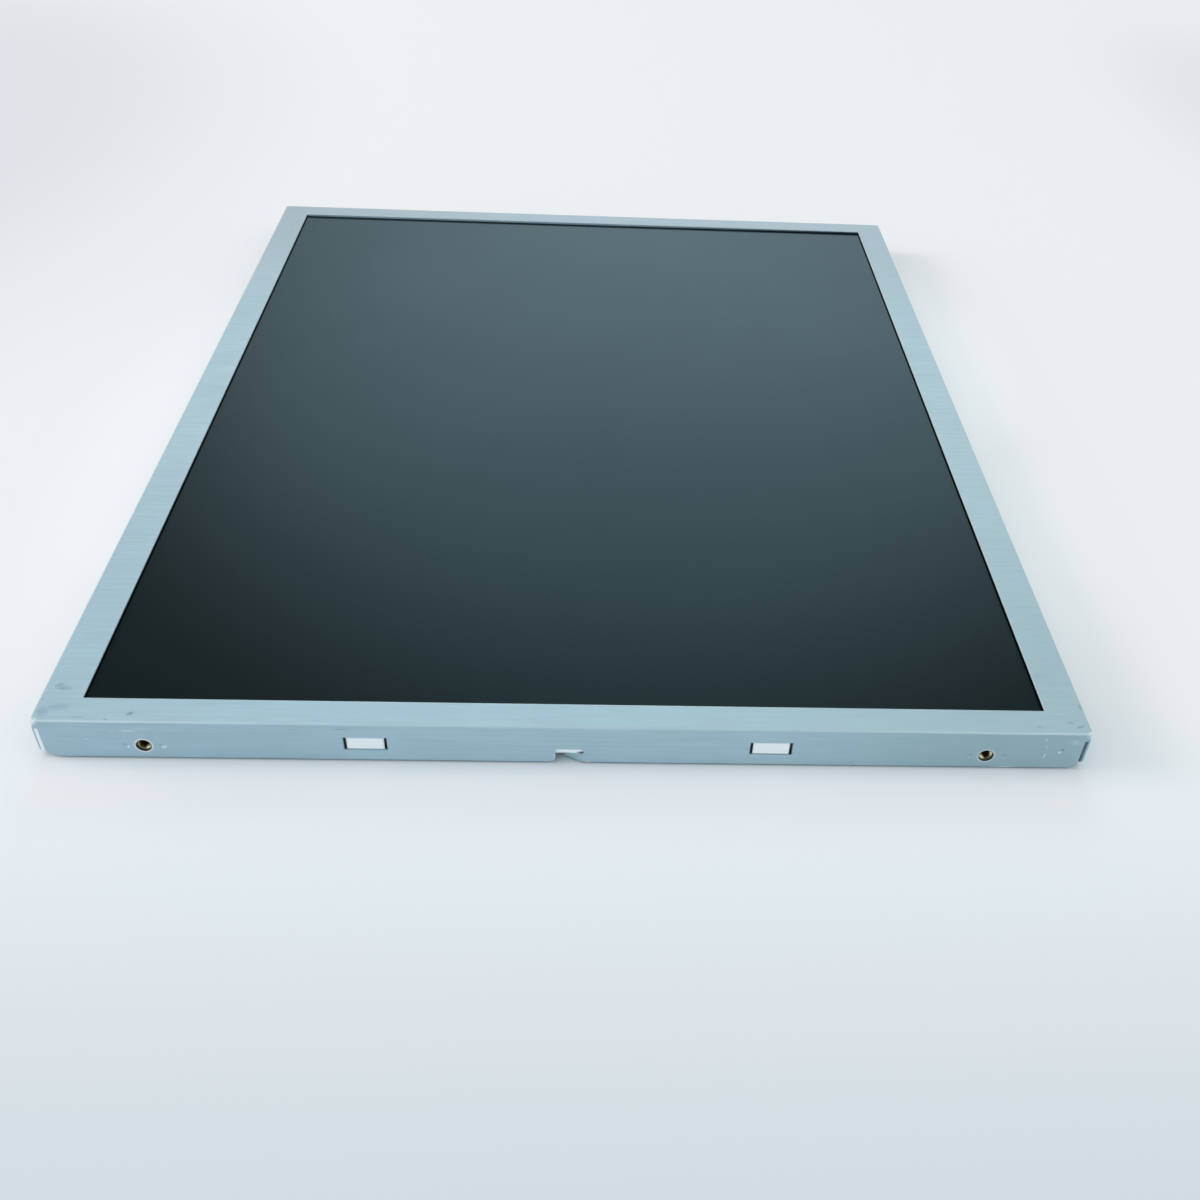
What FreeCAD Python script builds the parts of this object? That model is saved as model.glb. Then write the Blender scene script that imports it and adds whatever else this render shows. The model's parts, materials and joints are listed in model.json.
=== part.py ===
import FreeCAD
import Part
import math
import os
from FreeCAD import Vector

# A 17-inch flat display module, lying face up. A folded steel bezel holds a liquid crystal cell on a
# moulded frame. Under the frame an edge-lit backlight lies in a pressed steel chassis, and the circuit
# boards sit behind it under a thin shield. X runs across the module, Y along it and Z up through the
# front face. The origin is the middle of the face that the module rests on. Sizes are in millimetres.

# Picture area and the bezel window round it
active_width = 270.34
active_length = 337.92
window_margin_width = 1.28
window_margin_length = 0.84

# Front bezel, one folded and drawn steel sheet
bezel_sheet = 0.5
bezel_bend = 0.7
bezel_corner = 1.5
drawn_corner_depth = 3.0
skirt_lift = 0.8
skirt_round = 3.0
end_wall_setback = 1.8
long_wall_setback = 0.6
window_edge_round = 0.35

# Liquid crystal cell
front_polarizer_thickness = 0.2
filter_glass_thickness = 0.6
array_glass_thickness = 0.6
rear_polarizer_thickness = 0.2
polarizer_overlap = 1.6
polarizer_setback = 0.3
bond_ledge = 2.0
rear_polarizer_margin = 1.6
gasket_thickness = 0.65
gasket_width = 1.2

# Moulded frame
frame_wall = 1.6
frame_clearance = 0.25
frame_foot_lift = 2.2
frame_relief = 4.5
corner_post_gap = 0.15
corner_post_setback = 0.2
shelf_thickness = 1.4
aperture_clearance = 0.4
cell_clearance = 0.3
sheet_gap = 0.3

# Snap tongues of the frame and the bezel windows that they click into
latch_width = 10.5
latch_height = 4.6
latch_slot = 0.85
latch_clearance = 0.1
latch_depth = 7.45
latch_reveal = 0.05
latch_chamfer = 0.35
latch_inset_end = 91.05
latch_shift_end = -0.55
long_latch_count = 3

# Optical sheets and light guide
upper_diffuser_thickness = 0.2
prism_sheet_thickness = 0.25
lower_diffuser_thickness = 0.2
guide_thickness = 5.0
guide_overhang_width = 3.13
guide_overhang_length = 2.54
reflector_thickness = 0.2
sheet_inset = 0.2
stop_width = 14.0
stop_thickness = 1.9
stop_clearance = 0.1
stop_inset = 58.3

# Lamps, two along each long edge of the light guide
lamp_diameter = 2.0
lamp_pitch = 2.4
lamp_gap = 0.6
lamp_back_gap = 0.4
lamp_channel_sheet = 0.2
lamp_channel_lip = 0.7
lamp_holder_length = 7.0
lamp_holder_cover = 5.5
lamp_holder_wall = 0.5
lamp_clearance = 0.1

# Rear chassis, one pressed steel tray
chassis_sheet = 0.7
chassis_clearance = 0.3
chassis_corner = 3.0
chassis_wall_drop = 0.65
lead_channel = 2.7
end_gap = 2.7
bead_width = 14.0
bead_end_gap = 45.0
bead_depth = 1.0
bead_draft = 1.2
bead_pitch = 56.0
bead_count = 3

# Hooks of the frame that hold the chassis
hook_width = 8.0
hook_height = 1.4
hook_reach = 0.8
hook_count = 4
hook_drop = 2.75
hook_clearance = 0.15

# Side mounting points
mount_inset = 29.25
mount_depth = 9.2
mount_bore = 2.5
mount_hole = 4.4
insert_diameter = 4.0
insert_flange = 5.8
insert_length = 3.75
insert_recess = 0.2
insert_fit = 0.02
nut_plate_length = 16.0
nut_plate_height = 8.4
nut_plate_thickness = 1.2
nut_plate_clearance = 0.3
dimple_spread = 10.0
dimple_diameter = 1.8
dimple_depth = 0.35
dimple_rise = 0.2
dimple_clearance = 0.15
corner_dimple_inset = 7.9
corner_dimple_depth = 6.9

# Lanced tab in each short wall, bent in under the frame to lock it
tab_angle = 25.4
tab_top_depth = 10.95
tab_slit = 2.25
tab_bend = 4.0
tab_root = 4.2
tab_slit_end = 3.4
tab_end_gap = 2.65
tab_hold = 0.4
tab_relief_round = 1.7
tab_notch_margin = 0.8
tab_notch_gap = 0.05

# Lamp lead exits in the far wall
lead_exit_width = 6.0
lead_exit_height = 3.2

# Driver films that join the glass to the boards
film_thickness = 0.1
film_bend = 0.3
film_gap = 0.2
film_bond = 1.6
film_channel_clearance = 0.5
source_film_count = 8
source_film_width = 22.0
gate_film_count = 4
gate_film_width = 20.0
gate_film_inset = 48.17
gate_film_drop = 7.0
driver_chip_length = 15.0
driver_chip_height = 1.6
driver_chip_thickness = 0.45
driver_chip_drop = 4.0

# Circuit boards under the shield
shield_sheet = 0.3
board_thickness = 0.8
board_part_space = 2.3
board_standoff = 0.3
source_board_width = 18.5
source_board_end = 1.2
source_board_setback = 1.1
board_spacing = 5.0
control_board_width = 54.5
control_board_length = 132.0
insulator_thickness = 0.2
link_width = 20.0
link_spread = 64.0
link_overlap = 2.0
shield_margin = 2.5
shield_edge = 0.2
shield_flange_gap = 0.2
shield_dimple = 8.4
shield_dimple_taper = 1.4

# Signal connector on the control board
connector_depth = 5.6
connector_end = 2.5
connector_wall = 0.45
connector_overhang = 0.8
socket_end = 0.8
socket_height = 1.2
socket_depth = 3.6
contact_count = 30
contact_pitch = 1.0
contact_width = 0.35
contact_thickness = 0.2
contact_length = 2.8
connector_notch_margin = 1.5

# Packages on the control board: place from its middle, size in X and Y, height
controller_package = (0.0, -16.0, 20.0, 20.0, 1.4)
power_packages = [
    (4.0, 12.0, 9.7, 6.4, 1.1),
    (-14.0, 22.0, 5.0, 6.2, 1.4),
    (10.0, 32.0, 6.5, 4.4, 1.1),
    (-10.0, 40.0, 6.0, 6.0, 1.8),
    (4.0, 46.0, 5.0, 5.0, 1.6),
    (-4.0, -40.0, 3.2, 2.5, 1.6),
    (1.0, -40.0, 3.2, 2.5, 1.6),
    (6.0, -40.0, 3.2, 2.5, 1.6),
    (11.0, -40.0, 3.2, 2.5, 1.6),
]

# Screws that hold the shield and the boards
screw_diameter = 2.0
screw_head = 4.4
screw_head_height = 1.3
screw_head_round = 0.4
screw_recess_length = 2.4
screw_recess_width = 0.7
screw_recess_depth = 0.6
screw_clearance = 0.3
screw_fit = 0.05
boss_diameter = 6.0
screw_edge = 6.0

# Sides of round features, so that they need few faces: hidden ones, small ones and larger ones that show
hidden_facet_count = 8
facet_count = 12
broad_facet_count = 20

# How close two places count as the same
tiny = 1e-6

# Levels, from the rest face up
shield_top = shield_sheet
board_bottom = shield_top + board_part_space
board_top = board_bottom + board_thickness
plate_bottom = board_top + board_standoff
plate_top = plate_bottom + chassis_sheet
guide_bottom = plate_top + reflector_thickness
guide_top = guide_bottom + guide_thickness
prism_bottom = guide_top + lower_diffuser_thickness
upper_diffuser_bottom = prism_bottom + prism_sheet_thickness
sheets_top = upper_diffuser_bottom + upper_diffuser_thickness
shelf_bottom = sheets_top + sheet_gap
shelf_top = shelf_bottom + shelf_thickness
filter_bottom = shelf_top + array_glass_thickness
polarizer_bottom = filter_bottom + filter_glass_thickness
polarizer_top = polarizer_bottom + front_polarizer_thickness
bezel_inside = polarizer_top + gasket_thickness
front_face = bezel_inside + bezel_sheet

skirt_bottom = skirt_lift
tray_bottom = front_face - drawn_corner_depth
frame_foot = skirt_bottom + frame_foot_lift
frame_top = bezel_inside - frame_clearance
chassis_wall_top = shelf_bottom - chassis_wall_drop
latch_middle = front_face - latch_depth
mount_level = front_face - mount_depth
film_level = filter_bottom + film_thickness / 2

# Half widths, from the picture out to the bezel wall
active_x = active_width / 2
guide_x = active_x + guide_overhang_width
lamp_x = guide_x + lamp_gap + lamp_diameter / 2
lamp_channel_x = lamp_x + lamp_diameter / 2 + lamp_back_gap + lamp_channel_sheet
recess_x = lamp_channel_x
chassis_x = recess_x + chassis_sheet + lead_channel + chassis_sheet
frame_in_x = chassis_x + chassis_clearance
frame_x = frame_in_x + frame_wall
bezel_in_x = frame_x + frame_clearance
half_width = bezel_in_x + bezel_sheet

# Half lengths, from the picture out to the bezel wall
active_y = active_length / 2
guide_y = active_y + guide_overhang_length
chassis_in_y = guide_y + stop_clearance + stop_thickness
chassis_y = chassis_in_y + chassis_sheet
recess_y = chassis_in_y - lead_channel - chassis_sheet
frame_in_y = chassis_y + end_gap
frame_y = frame_in_y + frame_wall
bezel_in_y = frame_y + frame_clearance
half_length = bezel_in_y + bezel_sheet

# Bevel inside a drawn corner that leaves the sheet as thick there as elsewhere
inner_bevel = (2 - math.sqrt(2)) * (bezel_corner - bezel_sheet)

# Outlines of the cell
window_x = active_x + window_margin_width
window_y = active_y + window_margin_length
polarizer_x = window_x + polarizer_overlap
polarizer_y = window_y + polarizer_overlap
filter_x = polarizer_x + polarizer_setback
filter_y = polarizer_y + polarizer_setback
array_left = filter_x + bond_ledge
array_far = filter_y + bond_ledge
rear_polarizer_x = active_x + rear_polarizer_margin
rear_polarizer_y = active_y + rear_polarizer_margin
aperture_x = rear_polarizer_x + aperture_clearance
aperture_y = rear_polarizer_y + aperture_clearance

# Each driver film serves an equal share of the picture, and latches and hooks stand between films
source_film_pitch = active_length / source_film_count
gate_film_pitch = (active_width - 2 * gate_film_inset) / (gate_film_count - 1)
latch_spread_end = 2 * (half_width - latch_inset_end)
stop_spread = 2 * (guide_x - stop_inset)
latch_pitch_long = 2 * source_film_pitch
hook_pitch = 2 * source_film_pitch
mount_spread = 2 * (half_width - mount_inset)

# Boards and shield, all at the left of the rear recess
source_board_length = (source_film_count - 1) * source_film_pitch + source_film_width + 2 * source_board_end
source_left = -(chassis_x - source_board_setback)
source_right = source_left + source_board_width
control_left = source_right + board_spacing
control_right = control_left + control_board_width
control_middle = (control_left + control_right) / 2
connector_face = control_right + connector_overhang
shield_left = -(chassis_x - shield_edge)
shield_waist = source_right + shield_margin
shield_right = control_right + shield_margin
shield_strip_y = source_board_length / 2 + shield_margin
shield_block_y = control_board_length / 2 + shield_margin
shield_flange_top = plate_bottom - shield_flange_gap
bead_length = 2 * (recess_y - bead_end_gap)
bead_middle = (shield_right + recess_x) / 2

# Signal socket, as long as its row of contacts
socket_length = (contact_count - 1) * contact_pitch + contact_width + 2 * socket_end
connector_length = socket_length + 2 * connector_end
connector_height = socket_height + 2 * connector_wall

# Lanced tab: it reaches inwards past the wall of the frame
tab_radius = tab_bend + bezel_sheet / 2
tab_reach = bezel_sheet / 2 + frame_clearance + frame_wall + tab_hold
tab_corner = tab_root - tab_radius * math.tan(math.radians(tab_angle) / 2)
tab_length = tab_reach / math.sin(math.radians(tab_angle))
tab_tip = tab_corner - tab_length * math.cos(math.radians(tab_angle))
tab_top = front_face - tab_top_depth
slit_top = tab_top + tab_slit
tab_left = tab_tip - tab_end_gap

# How far a cutting tool runs past the face that it cuts
past = 1.0


def box(x_range, y_range, z_range):
    """A block between two limits on each axis."""
    size = [high - low for low, high in (x_range, y_range, z_range)]
    return Part.makeBox(*size, Vector(x_range[0], y_range[0], z_range[0]))


def block(half_x, half_y, z_range, x=0.0, y=0.0):
    """A block centred on a point in plan."""
    return box((x - half_x, x + half_x), (y - half_y, y + half_y), z_range)


def upright_edges(shape):
    """The edges of a solid that run along Z."""
    return [e for e in shape.Edges if abs(e.tangentAt(e.FirstParameter).z) > 0.99]


def rounded_block(half_x, half_y, z_range, radius):
    """A block with its four upright edges rounded."""
    body = block(half_x, half_y, z_range)
    return body.makeFillet(radius, upright_edges(body))


def top_rim(shape):
    """The edges round the upper face of a solid."""
    top = shape.BoundBox.ZMax
    return [e for e in shape.Edges if e.BoundBox.ZMin > top - tiny]


def half_turn(shape):
    """The shape turned half a turn about the module's upright axis."""
    turned = shape.copy()
    turned.rotate(Vector(0, 0, 0), Vector(0, 0, 1), 180)
    return turned


def moved(shape, x=0.0, y=0.0):
    """A copy of the shape moved in plan."""
    copy = shape.copy()
    copy.translate(Vector(x, y, 0))
    return copy


def both_ends(shape):
    """A shape at the near end and its half-turned twin at the far end."""
    return [shape, half_turn(shape)]


def row(count, pitch):
    """Evenly spaced places, centred on zero."""
    return [(i - (count - 1) / 2) * pitch for i in range(count)]


def ring(radius, z, sides):
    """The corners of a regular polygon round the Z axis."""
    turns = [2 * math.pi * i / sides for i in range(sides)]
    return [Vector(radius * math.cos(t), radius * math.sin(t), z) for t in turns]


def flat_face(points):
    """A flat face with straight edges between its corners."""
    return Part.Face(Part.makePolygon(points + points[:1]))


def between(low, high):
    """A solid with flat faces between two rings of as many corners."""
    faces = [flat_face([low[i - 1], low[i], high[i], high[i - 1]]) for i in range(len(low))]
    return Part.Solid(Part.makeShell(faces + [flat_face(low[::-1]), flat_face(high)]))


def drum(low_radius, high_radius, height, place, axis=Vector(0, 0, 1), sides=facet_count):
    """A many-sided disc, rod or cone that stands on a place and points along an axis."""
    solid = between(ring(low_radius, 0, sides), ring(high_radius, height, sides))
    solid.Placement = FreeCAD.Placement(place, FreeCAD.Rotation(Vector(0, 0, 1), axis))
    return solid


def slot_ring(length, width, z):
    """The corners of a slot outline along Y at one level."""
    straight = Vector(0, (length - width) / 2, 0)
    corners = ring(width / 2, z, broad_facet_count)
    half = broad_facet_count // 2
    far = [corner + straight for corner in corners[:half + 1]]
    near = [corner - straight for corner in corners[half:] + corners[:1]]
    return far + near


def strip_side(path, radius, offset, flat_bends):
    """One long side of a bent strip: its path in XZ, rounded or bevelled and moved sideways."""
    points = [Vector(x, 0, z) for x, z in path]

    def left_of(direction):
        return Vector(-direction.z, 0, direction.x)

    edges = []
    first = (points[1] - points[0]).normalize()
    start = points[0] + left_of(first) * offset
    for before, corner, after in zip(points, points[1:], points[2:]):
        way_in = (corner - before).normalize()
        way_out = (after - corner).normalize()
        turn = way_in.getAngle(way_out)
        reach = radius * math.tan(turn / 2)
        middle_way = (way_in + way_out).normalize()
        inward = (way_out - way_in).normalize()
        centre = corner + inward * (radius / math.cos(turn / 2))
        on_arc = centre - inward * radius
        arc_start = corner - way_in * reach + left_of(way_in) * offset
        arc_middle = on_arc + left_of(middle_way) * offset
        arc_end = corner + way_out * reach + left_of(way_out) * offset
        edges.append(Part.LineSegment(start, arc_start).toShape())
        bevel = Part.LineSegment(arc_start, arc_end)
        bend = bevel if flat_bends else Part.Arc(arc_start, arc_middle, arc_end)
        edges.append(bend.toShape())
        start = arc_end
    last = (points[-1] - points[-2]).normalize()
    edges.append(Part.LineSegment(start, points[-1] + left_of(last) * offset).toShape())
    return edges


def strip(path, radius, thickness, width, flat_bends=False):
    """A strip of one thickness that follows a bent path in XZ, centred on Y = 0."""
    one = strip_side(path, radius, thickness / 2, flat_bends)
    other = strip_side(path, radius, -thickness / 2, flat_bends)
    caps = [
        Part.LineSegment(one[0].Vertexes[0].Point, other[0].Vertexes[0].Point).toShape(),
        Part.LineSegment(one[-1].Vertexes[-1].Point, other[-1].Vertexes[-1].Point).toShape(),
    ]
    wire = Part.Wire(Part.__sortEdges__(one + other + caps))
    section = Part.Face(wire)
    solid = section.extrude(Vector(0, width, 0))
    solid.translate(Vector(0, -width / 2, 0))
    return solid


# Front bezel

def bezel_tray():
    """The front face with its folds and the drawn corners, open below."""
    outer = rounded_block(half_width, half_length, (tray_bottom, front_face), bezel_corner)
    outer = outer.makeFillet(bezel_bend, top_rim(outer))
    inner = block(bezel_in_x, bezel_in_y, (tray_bottom, bezel_inside))
    inner = inner.makeChamfer(inner_bevel, upright_edges(inner))
    inner = inner.makeChamfer(bezel_bend - bezel_sheet, top_rim(inner))
    window = block(window_x, window_y, (tray_bottom, front_face))
    tray = outer.cut([inner, window])
    rim = [e for e in tray.Edges
           if e.BoundBox.ZMin > front_face - tiny
           and e.BoundBox.XMax < window_x + tiny and e.BoundBox.XMin > -window_x - tiny
           and e.BoundBox.YMax < window_y + tiny and e.BoundBox.YMin > -window_y - tiny]
    return tray.makeFillet(window_edge_round, rim)


def skirt(low, high, thickness_range, along_x):
    """A plain wall below the drawn corners, with its two lower corners rounded."""
    limits = ((low, high), thickness_range) if along_x else (thickness_range, (low, high))
    plate = box(*limits, (skirt_bottom, tray_bottom))
    across = Vector(0, 1, 0) if along_x else Vector(1, 0, 0)
    corners = [e for e in plate.Edges
               if e.BoundBox.ZMax < skirt_bottom + tiny
               and abs(e.tangentAt(e.FirstParameter).dot(across)) > 0.99]
    return plate.makeFillet(skirt_round, corners)


def end_latch_places():
    """Where the latches of the near wall stand; those of the far wall are a half turn away."""
    return [x + latch_shift_end for x in row(2, latch_spread_end)]


def latch_window_size():
    """Half the length of a latch window, and its limits in height."""
    half = latch_width / 2 + latch_slot
    reach = latch_height / 2 + latch_clearance
    return half, (latch_middle - reach, latch_middle + reach)


def wall_dimple(x, z):
    """A clinch dimple of a short wall: the pit in its outer face and the button inside."""
    wide = dimple_diameter / 2
    inwards = Vector(0, 1, 0)
    pit = drum(wide, wide - dimple_depth, dimple_depth, Vector(x, -half_length, z), inwards)
    button = drum(wide, wide - dimple_rise, dimple_rise, Vector(x, -bezel_in_y, z), inwards,
                  hidden_facet_count)
    return pit, button


def lanced_tab():
    """The tab that is cut free on three sides and bent inwards."""
    middle = half_length - bezel_sheet / 2
    path = [(tab_root + bezel_sheet, middle), (tab_corner, middle), (tab_tip, middle - tab_reach)]
    tab = strip(path, tab_radius, bezel_sheet, tab_top - skirt_bottom)
    tab.rotate(Vector(0, 0, 0), Vector(1, 0, 0), 90)
    tab.translate(Vector(0, 0, (tab_top + skirt_bottom) / 2))
    return tab


def tab_opening():
    """What is cut out of a short wall round the lanced tab, with a round end to the slit."""
    start = -half_length - past
    through = (start, -bezel_in_y + past)
    depth = through[1] - through[0]
    radius = tab_slit / 2
    slit = box((tab_left, tab_slit_end - radius), through, (tab_top, slit_top))
    slit_end = Part.makeCylinder(radius, depth, Vector(tab_slit_end - radius, start, tab_top + radius),
                                 Vector(0, 1, 0))
    below = box((tab_left, tab_root), through, (skirt_bottom - past, tab_top))
    corner = box((tab_left - tab_relief_round, tab_left), through,
                 (skirt_bottom - past, skirt_bottom + tab_relief_round))
    kept = Part.makeCylinder(tab_relief_round, depth,
                             Vector(tab_left - tab_relief_round, start, skirt_bottom + tab_relief_round),
                             Vector(0, 1, 0))
    return [slit, slit_end, below, corner.cut(kept)]


def near_wall():
    """The short wall with latch windows, screw holes, dimples and the lanced tab."""
    reach = half_width - end_wall_setback
    wall = skirt(-reach, reach, (-half_length, -bezel_in_y), True)
    half, heights = latch_window_size()
    through = (-half_length - past, -bezel_in_y + past)
    cuts = [box((x - half, x + half), through, heights) for x in end_latch_places()]
    depth = bezel_sheet + 2 * past
    cuts += [Part.makeCylinder(mount_hole / 2, depth, Vector(x, through[0], mount_level), Vector(0, 1, 0))
             for x in row(2, mount_spread)]
    spots = [(x + dx, mount_level) for x in row(2, mount_spread) for dx in row(2, dimple_spread)]
    spots.append((half_width - corner_dimple_inset, front_face - corner_dimple_depth))
    dimples = [wall_dimple(*spot) for spot in spots]
    cuts += [pit for pit, button in dimples]
    wall = wall.cut(cuts + tab_opening())
    return wall.fuse([button for pit, button in dimples] + [lanced_tab()])


def right_wall():
    """The long wall with its latch windows."""
    reach = half_length - long_wall_setback
    wall = skirt(-reach, reach, (bezel_in_x, half_width), False)
    half, heights = latch_window_size()
    through = (bezel_in_x - past, half_width + past)
    return wall.cut([box(through, (y - half, y + half), heights)
                     for y in row(long_latch_count, latch_pitch_long)])


def lead_exits(y_range):
    """The two notches where the lamp leads come out of the far end."""
    half = lead_exit_width / 2
    return [box((x - half, x + half), y_range, (-past, plate_top + lead_exit_height))
            for x in (-lamp_x, lamp_x)]


def front_bezel():
    walls = both_ends(near_wall()) + both_ends(right_wall())
    shell = bezel_tray().fuse(walls).removeSplitter()
    return shell.cut(lead_exits((bezel_in_y - past, half_length + past)))


# Liquid crystal cell

def gaskets():
    """Four foam strips between the bezel and the edges of the cell."""
    heights = (polarizer_top, bezel_inside)
    inner_x = polarizer_x - gasket_width
    inner_y = polarizer_y - gasket_width
    long_strip = box((inner_x, polarizer_x), (-polarizer_y, polarizer_y), heights)
    short_strip = box((-inner_x, inner_x), (-polarizer_y, -inner_y), heights)
    return both_ends(long_strip) + both_ends(short_strip)


def array_glass():
    """The rear glass, longer than the front one where the driver films are bonded."""
    return box((-array_left, filter_x), (-filter_y, array_far), (shelf_top, filter_bottom))


# Moulded frame

def latch_face():
    """The snap face of a tongue, with its outer face on Y = 0 and its outer edges bevelled."""
    depth = frame_clearance + bezel_sheet - latch_reveal
    face = box((-latch_width / 2, latch_width / 2), (0, depth),
               (latch_middle - latch_height / 2, latch_middle + latch_height / 2))
    return face.makeChamfer(latch_chamfer, [e for e in face.Edges if e.BoundBox.YMax < tiny])


def latch_slots():
    """The two slots that free a tongue, cut through a frame wall whose outer face is on Y = 0."""
    inner = latch_width / 2
    outer = inner + latch_slot
    through = (-past, frame_wall + past)
    heights = (frame_foot - past, shelf_bottom)
    return [box(sides, through, heights) for sides in ((-outer, -inner), (inner, outer))]


def at_latches(shape, wall_x, wall_y):
    """Copies of a shape at every latch of the four walls."""
    sideways = shape.copy()
    sideways.rotate(Vector(0, 0, 0), Vector(0, 0, 1), 90)
    copies = []
    for x in end_latch_places():
        copies += both_ends(moved(shape, x, -wall_y))
    for y in row(long_latch_count, latch_pitch_long):
        copies += both_ends(moved(sideways, wall_x, y))
    return copies


def frame_hooks():
    """Wedges inside the long walls that snap into the chassis."""
    top = chassis_wall_top - hook_drop
    points = [Vector(frame_in_x, 0, top), Vector(frame_in_x - hook_reach, 0, top),
              Vector(frame_in_x, 0, top - hook_height)]
    wedge = Part.Face(Part.makePolygon(points + points[:1])).extrude(Vector(0, hook_width, 0))
    hooks = []
    for y in row(hook_count, hook_pitch):
        hook = wedge.copy()
        hook.translate(Vector(0, y - hook_width / 2, 0))
        hooks += both_ends(hook)
    return hooks


def film_channels():
    """Recesses that let the driver films pass over the frame and down outside it."""
    floor = film_level - film_thickness / 2 - film_gap
    depth = film_gap + film_thickness + driver_chip_thickness + film_gap
    half = source_film_width / 2 + film_channel_clearance
    outside = -frame_x - past
    cuts = []
    for y in row(source_film_count, source_film_pitch):
        sides = (y - half, y + half)
        cuts.append(box((outside, -array_left), sides, (floor, front_face)))
        cuts.append(box((outside, -frame_x + depth), sides, (0, front_face)))
        cuts.append(box((outside, -frame_in_x + past), sides, (0, board_bottom + film_gap)))
    half = gate_film_width / 2 + film_channel_clearance
    outside = frame_y + past
    low = film_level - gate_film_drop - film_gap
    for x in row(gate_film_count, gate_film_pitch):
        sides = (x - half, x + half)
        cuts.append(box(sides, (array_far, outside), (floor, front_face)))
        cuts.append(box(sides, (frame_y - depth, outside), (low, front_face)))
    return cuts


def frame_notches():
    """Notches of the short walls, for the nut plates and the lanced tabs."""
    through = (-frame_y - past, -frame_in_y + past)
    low = frame_foot - past
    half = nut_plate_length / 2 + nut_plate_clearance
    plate_top_level = mount_level + nut_plate_height / 2 + nut_plate_clearance
    cuts = []
    for x in row(2, mount_spread):
        cuts += both_ends(box((x - half, x + half), through, (low, plate_top_level)))
    tab_sides = (tab_left - tab_notch_margin, tab_root + tab_notch_margin)
    cuts += both_ends(box(tab_sides, through, (low, tab_top + tab_notch_gap)))
    return cuts


def round_corner_pair(body, radius, sign):
    """Rounds two opposite upright corners: near left and far right, or with -1 the other two."""
    edges = [e for e in body.Edges
             if abs(e.tangentAt(e.FirstParameter).z) > 0.99
             and abs(abs(e.CenterOfMass.x) - frame_x) < tiny
             and abs(abs(e.CenterOfMass.y) - frame_y) < tiny
             and e.CenterOfMass.x * e.CenterOfMass.y * sign > 0]
    return body.makeFillet(radius, edges)


def corner_post():
    """A rib of the frame that fills the slot between the bezel walls at the near left corner."""
    wall_end = -(half_width - end_wall_setback)
    return box((-frame_x, wall_end - corner_post_gap),
               (-half_length + corner_post_setback, -frame_in_y),
               (frame_foot, tray_bottom - corner_post_gap))


def mold_frame():
    body = block(frame_x, frame_y, (frame_foot, frame_top))
    body = round_corner_pair(body, bezel_corner - bezel_sheet - frame_clearance, 1)
    body = round_corner_pair(body, frame_relief, -1)
    chassis_room = rounded_block(frame_in_x, frame_in_y, (frame_foot - past, shelf_bottom),
                                 chassis_corner + chassis_clearance)
    aperture = block(aperture_x, aperture_y, (shelf_bottom - past, front_face))
    cell_room = box((-array_left - cell_clearance, filter_x + cell_clearance),
                    (-filter_y - cell_clearance, array_far + cell_clearance),
                    (shelf_top, front_face))
    faces = at_latches(latch_face(), half_width - latch_reveal, half_length - latch_reveal)
    slots = [cut for slot in latch_slots() for cut in at_latches(slot, frame_x, frame_y)]
    body = body.cut([chassis_room, aperture, cell_room] + film_channels() + frame_notches() + slots)
    body = body.cut(lead_exits((frame_in_y - past, frame_y + past)))
    return body.fuse(faces + frame_hooks() + both_ends(corner_post())).removeSplitter()


# Backlight

def optical_sheet(bottom, thickness):
    """A sheet that lies between the lips of the two lamp channels."""
    half_x = guide_x - lamp_channel_lip - sheet_inset
    return block(half_x, guide_y - sheet_inset, (bottom, bottom + thickness))


def light_guide():
    return block(guide_x, guide_y, (guide_bottom, guide_top))


def guide_stops():
    """Rubber blocks between the ends of the light guide and the chassis."""
    heights = (guide_bottom, guide_top)
    return [stop for x in row(2, stop_spread)
            for stop in both_ends(block(stop_width / 2, stop_thickness / 2, heights,
                                        x, -chassis_in_y + stop_thickness / 2))]


def lamp_levels():
    """Heights of the lower and upper lamp of a pair."""
    middle = (guide_bottom + guide_top) / 2
    return [middle + dz for dz in row(2, lamp_pitch)]


def lamp_holder_end():
    """Where a lamp holder starts, counted from the middle of the module."""
    return guide_y - lamp_holder_length


def lamp_half_length():
    return lamp_holder_end() + lamp_holder_cover - lamp_clearance


def lamp_tube(x, z):
    """A sealed straight glass lamp."""
    half = lamp_half_length()
    radius = lamp_diameter / 2
    return drum(radius, radius, 2 * half, Vector(x, -half, z), Vector(0, 1, 0))


def lamp_holder(x):
    """The rubber block at the near end of a lamp pair, with a blind bore for each lamp."""
    start = lamp_holder_end()
    half = lamp_diameter / 2 + lamp_holder_wall
    holder = box((x - half, x + half), (-guide_y, -start), (plate_top, guide_top))
    radius = lamp_diameter / 2 + lamp_clearance
    bottom = -start - lamp_holder_cover
    bores = [drum(radius, radius, lamp_holder_cover + past, Vector(x, bottom, z), Vector(0, 1, 0))
             for z in lamp_levels()]
    return holder.cut(bores)


def lamp_channel():
    """The folded reflector round the right-hand lamps, open towards the light guide."""
    half = lamp_holder_end() - lamp_clearance
    lip_start = guide_x - lamp_channel_lip
    outside = box((lip_start, lamp_channel_x), (-half, half),
                  (plate_top, guide_top + lamp_channel_sheet))
    inside = box((lip_start - past, lamp_channel_x - lamp_channel_sheet), (-half, half),
                 (guide_bottom, guide_top))
    return outside.cut(inside)


# Rear chassis

def screw_places():
    """Plan positions of the screws through the shield and the boards."""
    strip_x = source_right - screw_edge
    strip_y = source_board_length / 2 - screw_edge
    block_y = control_board_length / 2 - screw_edge
    places = [(strip_x, y) for y in (-strip_y, -strip_y / 2, strip_y / 2, strip_y)]
    places += [(x, y) for x in (control_left + screw_edge, control_right - screw_edge)
               for y in (-block_y, block_y)]
    return places


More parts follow.
